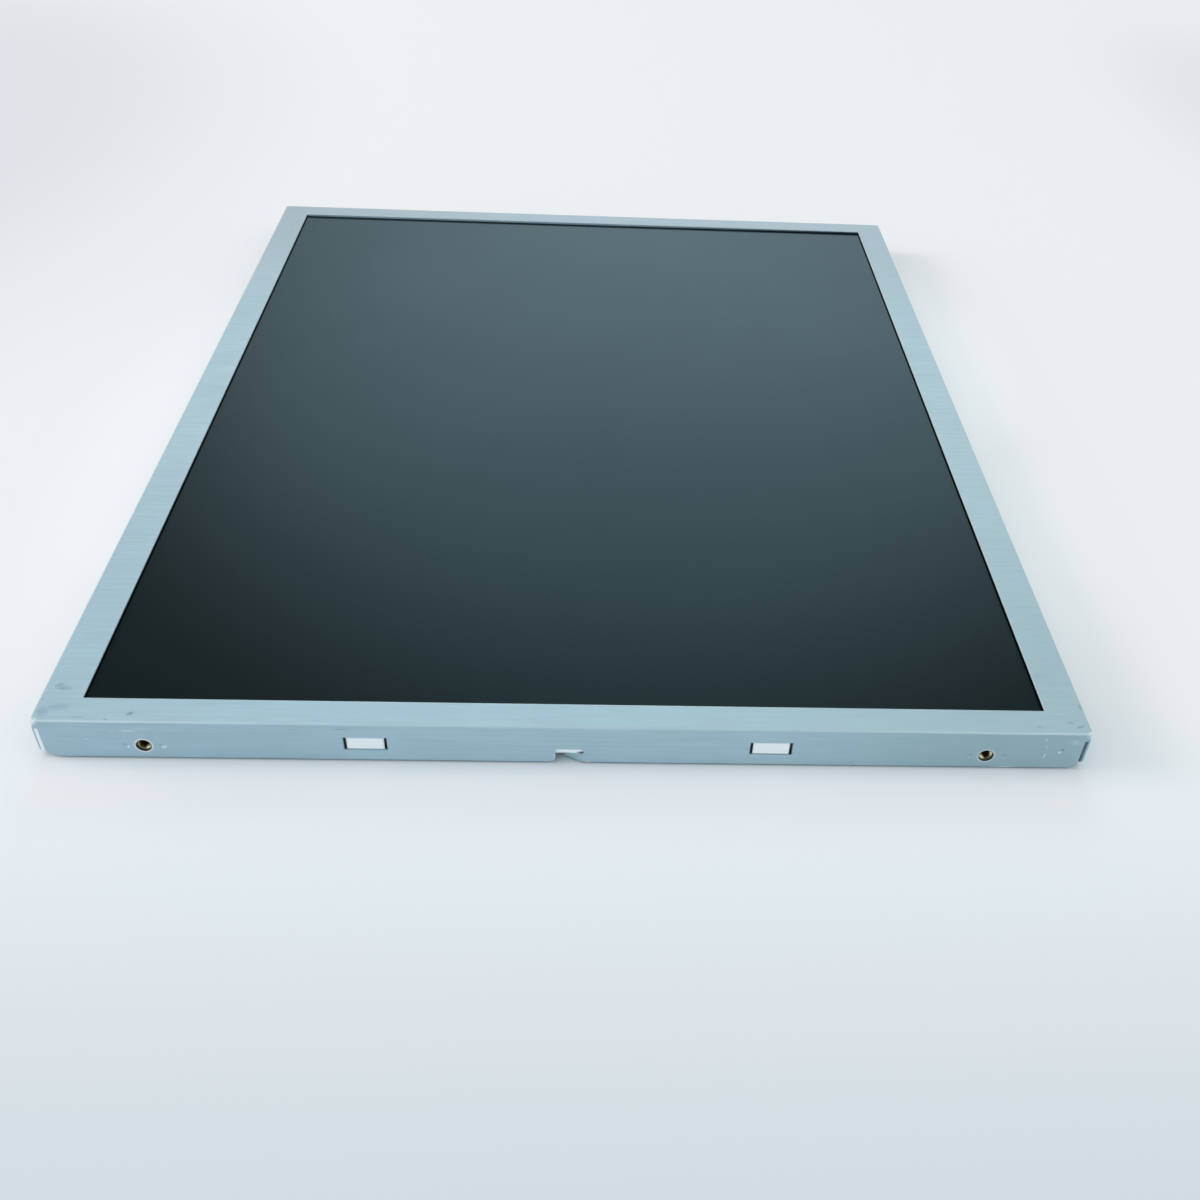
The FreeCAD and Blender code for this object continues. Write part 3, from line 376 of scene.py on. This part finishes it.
def put(tree, socket, value):
    """Links a socket to another one, or sets its value."""
    if isinstance(value, bpy.types.NodeSocket):
        tree.links.new(value, socket)
    else:
        socket.default_value = value


def add(tree, kind, inputs=None, **settings):
    """A new shader node with its settings and inputs."""
    node = tree.nodes.new(kind)
    for name, value in settings.items():
        setattr(node, name, value)
    for name, value in (inputs or {}).items():
        put(tree, node.inputs[name], value)
    return node


def place_on_part(tree):
    """The place on the part, in metres."""
    return add(tree, "ShaderNodeTexCoord").outputs["Object"]


def parts_of(tree, vector):
    """The three parts of a place or direction."""
    return add(tree, "ShaderNodeSeparateXYZ", {0: vector}).outputs


def combine(tree, operation, first, second=0.0):
    """One step of arithmetic on two values."""
    return add(tree, "ShaderNodeMath", {0: first, 1: second}, operation=operation).outputs[0]


def product(tree, first, *others):
    """Several values multiplied together."""
    for other in others:
        first = combine(tree, "MULTIPLY", first, other)
    return first


def rest_of(tree, value):
    """What a value leaves of one."""
    return combine(tree, "SUBTRACT", 1.0, value)


def spread(tree, value, low, high, new_low, new_high):
    """A value moved smoothly from one range to another."""
    ranges = {"Value": value, "From Min": low, "From Max": high, "To Min": new_low, "To Max": new_high}
    node = add(tree, "ShaderNodeMapRange", ranges, interpolation_type="SMOOTHSTEP")
    return node.outputs["Result"]


def noise(tree, scale, stretch=even, detail=noise_detail):
    """Fine or coarse noise on the part, stretched along an axis if wanted."""
    mapped = add(tree, "ShaderNodeMapping", {"Vector": place_on_part(tree), "Scale": stretch})
    inputs = {"Vector": mapped.outputs[0], "Scale": scale, "Detail": detail, "Roughness": noise_roughness}
    return add(tree, "ShaderNodeTexNoise", inputs).outputs[0]


def blend(tree, factor, first, second):
    """A colour between two others."""
    node = add(tree, "ShaderNodeMix", data_type="RGBA")
    put(tree, node.inputs[0], factor)
    put(tree, node.inputs[6], (*first, 1) if isinstance(first, tuple) else first)
    put(tree, node.inputs[7], (*second, 1) if isinstance(second, tuple) else second)
    return node.outputs[2]


def bump(tree, height, distance):
    """A surface relief of a given depth in metres."""
    return add(tree, "ShaderNodeBump", {"Height": height, "Distance": distance}).outputs[0]


def lying(height, depth, rows):
    """Marks on a lying face at one height."""
    return [((x, y, height), (wide, long, depth), turn, 2, strength)
            for x, y, wide, long, turn, strength in rows]


def standing(y, depth, rows):
    """Marks on a standing face that looks along Y."""
    return [((x, y, z), (wide, depth, high), turn, 1, strength)
            for x, z, wide, high, turn, strength in rows]


def mark(tree, place, size, turn, axis):
    """A soft-edged spot on the part: one in its middle and nothing outside."""
    rotation = [0.0, 0.0, 0.0]
    rotation[axis] = turn
    inputs = {"Vector": place_on_part(tree), "Location": place, "Rotation": rotation, "Scale": size}
    mapped = add(tree, "ShaderNodeMapping", inputs, vector_type="TEXTURE")
    length = add(tree, "ShaderNodeVectorMath", {0: mapped.outputs[0]}, operation="LENGTH")
    return spread(tree, length.outputs["Value"], *mark_range)


def all_marks(tree, marks):
    """Several spots together."""
    total = 0.0
    for place, size, turn, axis, strength in marks:
        spot = product(tree, mark(tree, place, size, turn, axis), strength)
        total = combine(tree, "MAXIMUM", total, spot)
    return total


def from_hole(tree):
    """How far a place is from the axis of the nearest side hole."""
    sides = parts_of(tree, place_on_part(tree))
    across = combine(tree, "SUBTRACT", combine(tree, "ABSOLUTE", sides[0]), hole_x)
    up = combine(tree, "SUBTRACT", sides[2], hole_z)
    squares = [product(tree, side, side) for side in (across, up)]
    return combine(tree, "SQRT", combine(tree, "ADD", *squares))


def facing(tree, axis):
    """How squarely a face looks along an axis, either way: one if squarely and nothing if edge on."""
    normal = add(tree, "ShaderNodeTexCoord").outputs["Normal"]
    return combine(tree, "ABSOLUTE", parts_of(tree, normal)[axis])


def beyond(tree, axis, limit):
    """One where a place is further from the middle than a limit, on either side."""
    side = parts_of(tree, place_on_part(tree))[axis]
    return combine(tree, "GREATER_THAN", combine(tree, "ABSOLUTE", side), limit)


def new_look(name, colour, metallic=0.0, roughness=0.5, ior=1.5):
    """A plain material to be refined, with its node tree and shader."""
    look = bpy.data.materials.new(name)
    look.use_nodes = True
    shader = look.node_tree.nodes["Principled BSDF"]
    shader.inputs["Base Color"].default_value = (*colour, 1)
    shader.inputs["Metallic"].default_value = metallic
    shader.inputs["Roughness"].default_value = roughness
    shader.inputs["IOR"].default_value = ior
    return look, look.node_tree, shader


def opened(look):
    """The node tree of a finished look, its shader and its colour."""
    shader = look.node_tree.nodes["Principled BSDF"]
    return look.node_tree, shader, shader.inputs["Base Color"].links[0].from_socket


def grained(name, colour, dark, scale, metallic, roughness, relief=plain_relief, stretch=even):
    """A material with mottled colour, uneven gloss and a fine relief."""
    look, tree, shader = new_look(name, colour, metallic)
    coarse = noise(tree, scale * mottle_coarseness, stretch)
    fine = noise(tree, scale, stretch, mottle_detail)
    shares = [product(tree, part, share) for part, share in zip((coarse, fine), mottle_shares)]
    mottle = combine(tree, "ADD", *shares)
    pale = spread(tree, mottle, *mottle_limits, 0, 1)
    put(tree, shader.inputs["Base Color"], blend(tree, pale, dark, colour))
    put(tree, shader.inputs["Roughness"], spread(tree, mottle, *mottle_limits, *roughness))
    put(tree, shader.inputs["Normal"], bump(tree, fine, relief))
    return look


def striped(name, colour, line_colour, pitch, roughness):
    """A film or board with fine lines, such as printed conductors."""
    look, tree, shader = new_look(name, colour, roughness=roughness)
    inputs = {"Vector": place_on_part(tree), "Scale": wave_scale / pitch}
    inputs.update({"Distortion": line_distortion, "Detail": line_detail})
    lines = add(tree, "ShaderNodeTexWave", inputs, bands_direction="Y").outputs[1]
    patches = spread(tree, noise(tree, line_patch_scale), *line_patch_range)
    cover = product(tree, spread(tree, lines, *line_range), patches)
    ground = blend(tree, noise(tree, ground_scale), colour, tuple(c * ground_dark for c in colour))
    put(tree, shader.inputs["Base Color"], blend(tree, cover, ground, line_colour))
    put(tree, shader.inputs["Normal"], bump(tree, cover, line_relief))
    return look


def plating(tree, sides, streaks):
    """The colour of the bezel's plating along the frame and on its short walls, with painted light and
    painted shade by place, and with its clouds and streaks.
    """
    from_left = spread(tree, sides[0], *plating_side_range)
    across = combine(tree, "ABSOLUTE", sides[0])
    shade = blend(tree, from_left, lit_plating_left, shaded_plating_right)
    shade = blend(tree, spread(tree, sides[1], *plating_middle_range), shade, lit_plating_middle)
    shade = blend(tree, spread(tree, sides[1], *plating_far_range), shade, shaded_plating_far)
    # Painted shade on the short walls, which look along Y
    end_wall = blend(tree, from_left, shaded_end_wall_left, shaded_end_wall_right)
    end_wall = blend(tree, spread(tree, across, *end_wall_middle_range), end_wall, shaded_end_wall_middle)
    shade = blend(tree, spread(tree, facing(tree, 1), *end_wall_range), shade, end_wall)
    clouds = spread(tree, noise(tree, cloud_scale), *cloud_range)
    shade = blend(tree, clouds, shade, cloud_colour)
    return blend(tree, spread(tree, streaks, *streak_range), shade, streak_colour)


def fold_highlights(tree, sides):
    """Where a highlight is painted on the bezel's front bends, more so towards the corners."""
    tilt = facing(tree, 2)
    bent = product(tree, spread(tree, tilt, *fold_low_range), spread(tree, tilt, *fold_high_range))
    across = combine(tree, "ABSOLUTE", sides[0])
    front = combine(tree, "GREATER_THAN", sides[2], front_face - bezel_bend)
    return product(tree, bent, spread(tree, across, *fold_side_range), front)


def hole_edges(tree, sides, shade):
    """The colour with painted highlights as pale rims round the side holes, stronger at the left one, and
    painted shade inside them.
    """
    away = from_hole(tree)
    rim = product(tree, spread(tree, away, *rim_inner_range), spread(tree, away, *rim_outer_range))
    rim = product(tree, rim, spread(tree, sides[0], *rim_side_range))
    shade = blend(tree, rim, shade, rim_highlight_colour)
    return blend(tree, spread(tree, away, *hole_wall_range), shade, hole_wall_shade_colour)


def patchy_marks(tree, patches, patch_range, marks):
    """Marks of wear and of painted light and shade, broken up into patches."""
    return product(tree, all_marks(tree, marks), spread(tree, patches, *patch_range))


def bezel_look():
    """Satin steel with a cool plating, painted light and shade across it and painted highlights at its
    edges, smudged and scratched in places.
    """
    look, tree, shader = new_look("bezel_steel", lit_plating_left, plating_metal)
    sides = parts_of(tree, place_on_part(tree))
    grain = noise(tree, grain_scale, even, grain_detail)
    streaks = noise(tree, streak_scale, streak_stretch, streak_detail)
    patches = noise(tree, patch_scale, even, patch_detail)
    dark_marks = lying(front_face, patchy_marks_depth, front_stains) + standing(-half_length, patchy_marks_depth, wall_dark_marks)
    pale_marks = lying(front_face, patchy_marks_depth, front_pale_marks) + standing(-half_length, patchy_marks_depth, wall_pale_marks)
    shade = plating(tree, sides, streaks)
    shade = blend(tree, patchy_marks(tree, patches, dark_mark_range, dark_marks), shade, dark_mark_colour)
    shade = blend(tree, fold_highlights(tree, sides), shade, fold_highlight_colour)
    shade = hole_edges(tree, sides, shade)
    shade = blend(tree, patchy_marks(tree, patches, pale_mark_range, pale_marks + edge_pale_marks), shade, pale_mark_colour)
    put(tree, shader.inputs["Base Color"], shade)
    gloss = spread(tree, combine(tree, "ADD", streaks, grain), *gloss_range)
    put(tree, shader.inputs["Roughness"], gloss)
    put(tree, shader.inputs["Normal"], bump(tree, grain, grain_relief))
    return look


def screen_look():
    """The matt front film of the picture, dark because it is switched off."""
    look, tree, shader = new_look("screen_film", screen_colour, 0.0, screen_roughness[0], screen_ior)
    shader.inputs["Specular Tint"].default_value = (*screen_tint, 1)
    border = combine(tree, "MAXIMUM", beyond(tree, 0, active_x), beyond(tree, 1, active_y))
    put(tree, shader.inputs["Base Color"], blend(tree, border, screen_colour, screen_border_colour))
    gloss = spread(tree, noise(tree, screen_scale), *mottle_limits, *screen_roughness)
    put(tree, shader.inputs["Roughness"], gloss)
    sparkle = noise(tree, sparkle_scale, even, sparkle_detail)
    put(tree, shader.inputs["Normal"], bump(tree, sparkle, sparkle_relief))
    return look


def zinc_look():
    """Galvanised sheet with a faint spangle."""
    look, tree, shader = new_look("chassis_steel", zinc_colour, 1.0)
    inputs = {"Vector": place_on_part(tree), "Scale": spangle_scale}
    cells = add(tree, "ShaderNodeTexVoronoi", inputs).outputs["Color"]
    level = add(tree, "ShaderNodeSeparateColor", {0: cells}).outputs[0]
    put(tree, shader.inputs["Base Color"], blend(tree, level, zinc_dark, zinc_pale))
    put(tree, shader.inputs["Roughness"], spread(tree, level, 0, 1, *zinc_roughness))
    put(tree, shader.inputs["Normal"], bump(tree, noise(tree, zinc_grain_scale), zinc_relief))
    return look


def slit_sides(tree, axis, wall_axis, wall_start, wall_end):
    """The faces that look along a wall, away from its corners."""
    inner = rest_of(tree, beyond(tree, axis, wall_end))
    return product(tree, facing(tree, axis), beyond(tree, wall_axis, wall_start), inner)


def shade_frame(look):
    """Makes the white frame dark on the sides of the slits where no light comes in."""
    tree, shader, shade = opened(look)
    short_walls = slit_sides(tree, 0, 1, short_wall_start, short_wall_end)
    long_walls = slit_sides(tree, 1, 0, long_wall_start, long_wall_end)
    slits = spread(tree, combine(tree, "MAXIMUM", short_walls, long_walls), *slit_range)
    # Painted highlight and painted shade on the strip behind the lanced tab
    shine = all_marks(tree, standing(strip_face, strip_depth, strip_shine))
    dim = all_marks(tree, standing(strip_face, strip_depth, strip_shade))
    shade = blend(tree, shine, shade, strip_shine_colour)
    shade = blend(tree, dim, shade, strip_shade_colour)
    put(tree, shader.inputs["Base Color"], blend(tree, slits, shade, slit_shade_colour))


def shade_foam(look):
    """Makes the grey foam paler on the side where more light comes in."""
    tree, shader, shade = opened(look)
    side = parts_of(tree, place_on_part(tree))[0]
    pale = spread(tree, side, *foam_range)
    put(tree, shader.inputs["Base Color"], blend(tree, pale, shade, foam_pale_colour))


def shade_insert(look):
    """Paints shade on the brass, nearly black inside the bore, with painted glints at its mouth."""
    tree, shader, shade = opened(look)
    patches = spread(tree, noise(tree, bore_scale), *bore_patch_range)
    bore = product(tree, spread(tree, from_hole(tree), *bore_range), patches)
    deep = rest_of(tree, beyond(tree, 1, half_length - bore_lit_depth))
    glint = all_marks(tree, standing(insert_recess - half_length, glint_depth, glints))
    dark = product(tree, combine(tree, "MAXIMUM", bore, deep), rest_of(tree, glint))
    # Painted shade: a dark brown mottle inside the bore
    bore_shade = blend(tree, noise(tree, bore_shade_scale), bore_shade_dark, bore_shade_pale)
    shade = blend(tree, glint, shade, glint_colour)
    put(tree, shader.inputs["Base Color"], blend(tree, dark, shade, bore_shade))
    put(tree, shader.inputs["Metallic"], rest_of(tree, combine(tree, "MAXIMUM", dark, glint)))
    shader.inputs["Specular IOR Level"].default_value = bore_shade_specular


def all_looks():
    """One material for each slot of the part."""
    looks = {"bezel_steel": bezel_look(), "screen_film": screen_look(), "chassis_steel": zinc_look()}
    for name, values in grained_looks.items():
        looks[name] = grained(name, *values)
    for name, values in striped_looks.items():
        looks[name] = striped(name, *values)
    shade_frame(looks["frame_plastic"])
    shade_foam(looks["foam"])
    shade_insert(looks["insert"])
    return looks


def dress_nodes(frame, looks):
    """Gives each solid of the part the material of its slot."""
    for part in frame["record"]["subparts"]:
        solid = frame["nodes"][part["node"]]
        solid.data.materials.clear()
        solid.data.materials.append(looks[part["material_slot"]])


def skin(rings):
    """The points of some rings of as many corners, and the faces between each ring and the next."""
    points = [point for ring in rings for point in ring]
    count = len(rings[0])
    faces = []
    for i in range(len(rings) - 1):
        for k in range(count):
            m = (k + 1) % count
            faces.append((i * count + k, i * count + m, (i + 1) * count + m, (i + 1) * count + k))
    return points, faces


def circle(height, radius, sides):
    """A ring of points round the Z axis, where the radius may depend on the angle."""
    turns = [2 * math.pi * k / sides for k in range(sides)]
    radii = [radius(turn) if callable(radius) else radius for turn in turns]
    return [Vector((r * math.cos(t), r * math.sin(t), height)) for r, t in zip(radii, turns)]


def hexagon(wide):
    """The radius of a six-sided outline at an angle."""
    flat = wide * math.cos(math.pi / 6)
    return lambda turn: flat / math.cos((turn % (math.pi / 3)) - math.pi / 6)


def thread(height):
    """The radius of a threaded bore at an angle, at one height."""
    def radius(turn):
        phase = (height / thread_pitch + turn / (2 * math.pi)) % 1.0
        return thread_core + (thread_crest - thread_core) * (1 - abs(2 * phase - 1))
    return radius


def insert_mesh():
    """A turned bush with a chamfered mouth, a six-sided flange and a thread inside."""
    neck = insert_neck_length
    mouth = insert_recess
    profile = [(mouth, thread_crest + insert_edge / 2), (mouth, insert_neck - insert_edge),
               (mouth + insert_edge, insert_neck), (neck, insert_neck), (neck, hexagon(insert_flange)),
               (insert_length, hexagon(insert_flange))]
    depth = insert_length - mouth
    heights = [mouth + depth * i / thread_steps for i in range(thread_steps, 0, -1)]
    profile += [(height, thread(height)) for height in heights]
    profile.append(profile[0])
    return skin([circle(height, radius, insert_sides) for height, radius in profile])


def screw_mesh():
    """A pan head that points down, with the start of its shank above it."""
    profile = [(-screw_head_height * high, screw_head * wide) for high, wide in screw_round]
    profile += [(0.0, screw_shank), (screw_shank_length, screw_shank), (screw_shank_length, 0.0)]
    return skin([circle(height, radius, screw_sides) for height, radius in profile])


def recess_mesh():
    """The cross that is cut into a screw head."""
    low = -screw_head_height - recess_depth
    high = -screw_head_height + recess_depth
    inner = recess_width / 2
    corners = [(recess_arm, -inner), (recess_arm, inner), (inner, inner)]
    outline = []
    for quarter in range(4):
        turn = Matrix.Rotation(quarter * math.pi / 2, 4, "Z")
        outline += [turn @ Vector((x, y, 0)) for x, y in corners]
    rings = []
    for height, size in ((low, 1), (high, recess_taper)):
        rings.append([point * size + Vector((0, 0, height)) for point in outline])
    points, faces = skin(rings)
    count = len(outline)
    return points, faces + [tuple(range(count))[::-1], tuple(range(count, 2 * count))]


def clean(mesh):
    """Joins points that coincide, drops empty faces and turns all faces outwards."""
    work = bmesh.new()
    work.from_mesh(mesh)
    bmesh.ops.remove_doubles(work, verts=work.verts, dist=new_point_distance)
    bmesh.ops.recalc_face_normals(work, faces=work.faces)
    work.to_mesh(mesh)
    work.free()


def new_piece(name, points, faces):
    """A piece of the scene from points and faces."""
    mesh = bpy.data.meshes.new(name)
    mesh.from_pydata(points, [], faces)
    clean(mesh)
    piece = bpy.data.objects.new(name, mesh)
    bpy.context.scene.collection.objects.link(piece)
    return piece


def cut_mesh(shape, tool):
    """The points and faces of one mesh with another cut out of it."""
    body = new_piece("body", *shape)
    cutter = new_piece("cutter", *tool)
    change = body.modifiers.new("cut", "BOOLEAN")
    change.object = cutter
    change.operation = "DIFFERENCE"
    change.solver = "EXACT"
    mesh = bpy.data.meshes.new_from_object(body.evaluated_get(bpy.context.evaluated_depsgraph_get()))
    points = [vertex.co.copy() for vertex in mesh.vertices]
    faces = [tuple(face.vertices) for face in mesh.polygons]
    bpy.data.objects.remove(body)
    bpy.data.objects.remove(cutter)
    return points, faces


def take_solid(left):
    """The places of the points of one solid, which are taken out of the set of points that are left."""
    todo = [left.pop()]
    places = []
    while todo:
        vertex = todo.pop()
        places.append(vertex.co.copy())
        near = [edge.other_vert(vertex) for edge in vertex.link_edges]
        todo += [other for other in near if other in left]
        left.difference_update(near)
    return places


def solids_of(node):
    """The low and high corner of each separate solid of a part's node, always in the same order."""
    work = bmesh.new()
    work.from_mesh(node.data)
    bmesh.ops.remove_doubles(work, verts=work.verts, dist=node_point_distance)
    left = set(work.verts)
    corners = []
    while left:
        places = take_solid(left)
        low = Vector([min(place[i] for place in places) for i in range(3)])
        high = Vector([max(place[i] for place in places) for i in range(3)])
        corners.append((low, high))
    work.free()
    return sorted(corners, key=lambda pair: tuple(pair[0]))


def put_copies(name, shape, places, look, node):
    """One piece of copies of a mesh, each set by a matrix, in place of the part's plain solids."""
    points = []
    faces = []
    for place in places:
        start = len(points)
        points += [place @ point for point in shape[0]]
        faces += [tuple(start + corner for corner in face) for face in shape[1]]
    piece = new_piece(name, points, faces)
    piece.data.shade_smooth()
    piece.data.set_sharp_from_angle(angle=math.radians(sharp_angle))
    piece.data.materials.append(look)
    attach(piece, "root")
    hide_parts(node)


def build_inserts(frame, looks):
    """Threaded bushes in the four side holes."""
    places = []
    for low, high in solids_of(frame["nodes"]["threaded_inserts"]):
        middle = (low + high) / 2
        near = middle.y < 0
        mouth = Vector((middle.x, low.y if near else high.y, middle.z))
        turn = Matrix.Rotation(math.radians(-90 if near else 90), 4, "X")
        places.append(Matrix.Translation(mouth) @ turn)
    put_copies("threaded_bushes", insert_mesh(), places, looks["insert"], "threaded_inserts")


def build_screws(frame, looks):
    """Pan-head screws in the shield's dimples, each turned a little further than the last."""
    shape = cut_mesh(screw_mesh(), recess_mesh())
    places = []
    for i, (low, high) in enumerate(solids_of(frame["nodes"]["shield_screws"])):
        seat = Vector(((low.x + high.x) / 2, (low.y + high.y) / 2, low.z + screw_head_height))
        places.append(Matrix.Translation(seat) @ Matrix.Rotation(i * screw_turn, 4, "Z"))
    put_copies("pan_head_screws", shape, places, looks["screw"], "shield_screws")


def floor_look():
    """A pale colour with painted shade towards the viewer, dimmer places of painted shade, paler places of
    painted light and cooler places of painted shade.
    """
    look, tree, shader = new_look("floor", floor_far_colour, 0.0, floor_roughness)
    sides = parts_of(tree, place_on_part(tree))
    across = combine(tree, "ABSOLUTE", sides[0])
    near = spread(tree, sides[1], *floor_near_range)
    near = product(tree, near, spread(tree, sides[1], *floor_front_range))
    near = product(tree, near, spread(tree, across, *floor_side_range))
    cool, pale, dim = [all_marks(tree, lying(0.0, floor_mark_depth, rows))
                       for rows in (painted_floor_cool_shade, painted_floor_light, painted_floor_shade)]
    # Painted cool shade, painted shade towards the viewer, painted light beside the part and painted shade
    # far off
    shade = blend(tree, cool, floor_far_colour, painted_floor_cool_shade_colour)
    shade = blend(tree, near, shade, floor_near_shade_colour)
    shade = blend(tree, pale, shade, painted_floor_light_colour)
    put(tree, shader.inputs["Base Color"], blend(tree, dim, shade, painted_floor_shade_colour))
    shader.inputs["Specular IOR Level"].default_value = 0.0
    return look


def build_floor():
    """A wide pale floor."""
    half = floor_size / 2
    mesh = bpy.data.meshes.new("floor")
    corners = [(-half, -half, 0), (half, -half, 0), (half, half, 0), (-half, half, 0)]
    mesh.from_pydata(corners, [], [(0, 1, 2, 3)])
    mesh.materials.append(floor_look())
    floor = bpy.data.objects.new("floor", mesh)
    bpy.context.scene.collection.objects.link(floor)


def likeness(tree, way, other):
    """How nearly two directions are the same: one if they are."""
    return add(tree, "ShaderNodeVectorMath", {0: way, 1: other}, operation="DOT_PRODUCT").outputs["Value"]


def build_sky():
    """A soft sky with a cool window in a darker wall behind the part, and a dimmer room in front of it."""
    world = bpy.data.worlds.new("sky")
    world.use_nodes = True
    tree = world.node_tree
    way = add(tree, "ShaderNodeTexCoord").outputs["Generated"]
    wide = add(tree, "ShaderNodeVectorMath", {0: way, 1: glow_squash}, operation="MULTIPLY").outputs[0]
    wide = add(tree, "ShaderNodeVectorMath", {0: wide}, operation="NORMALIZE").outputs[0]
    glow = likeness(tree, wide, glow_way)
    room = likeness(tree, way, room_way)
    shade = blend(tree, spread(tree, parts_of(tree, way)[2], *sky_range), sky_rim, sky_top)
    shade = blend(tree, spread(tree, glow, *wall_range), shade, wall_colour)
    shade = blend(tree, spread(tree, glow, *glow_range), shade, glow_colour)
    shade = blend(tree, spread(tree, room, *room_range), shade, room_colour)
    put(tree, tree.nodes["Background"].inputs["Color"], shade)
    bpy.context.scene.world = world


def build_lamp():
    """A wide lamp on the left, which does not show in gloss."""
    light = bpy.data.lights.new("soft_lamp", "AREA")
    light.shape = "DISK"
    light.size = lamp_size
    light.energy = lamp_watts
    light.color = lamp_colour
    lamp = bpy.data.objects.new("soft_lamp", light)
    lamp.location = lamp_place
    lamp.visible_glossy = False
    lamp.rotation_euler = (-lamp_place).to_track_quat("-Z", "Y").to_euler()
    bpy.context.scene.collection.objects.link(lamp)


def build_camera():
    """The camera at the picture's point of view."""
    data = bpy.data.cameras.new("camera")
    data.sensor_fit = "HORIZONTAL"
    data.sensor_width = camera_sensor
    data.lens = camera_lens
    data.shift_x, data.shift_y = camera_shift
    data.clip_start = camera_clip
    camera = bpy.data.objects.new("camera", data)
    turn = Matrix((camera_right, camera_up, -camera_forward)).transposed()
    camera.matrix_world = Matrix.Translation(camera_place) @ turn.to_4x4()
    bpy.context.scene.collection.objects.link(camera)
    bpy.context.scene.camera = camera


def main():
    """Dresses the part and builds what is round it."""
    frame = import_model()
    bpy.context.scene.view_settings.view_transform = "Standard"
    looks = all_looks()
    dress_nodes(frame, looks)
    build_inserts(frame, looks)
    build_screws(frame, looks)
    build_floor()
    build_sky()
    build_lamp()
    build_camera()


main()
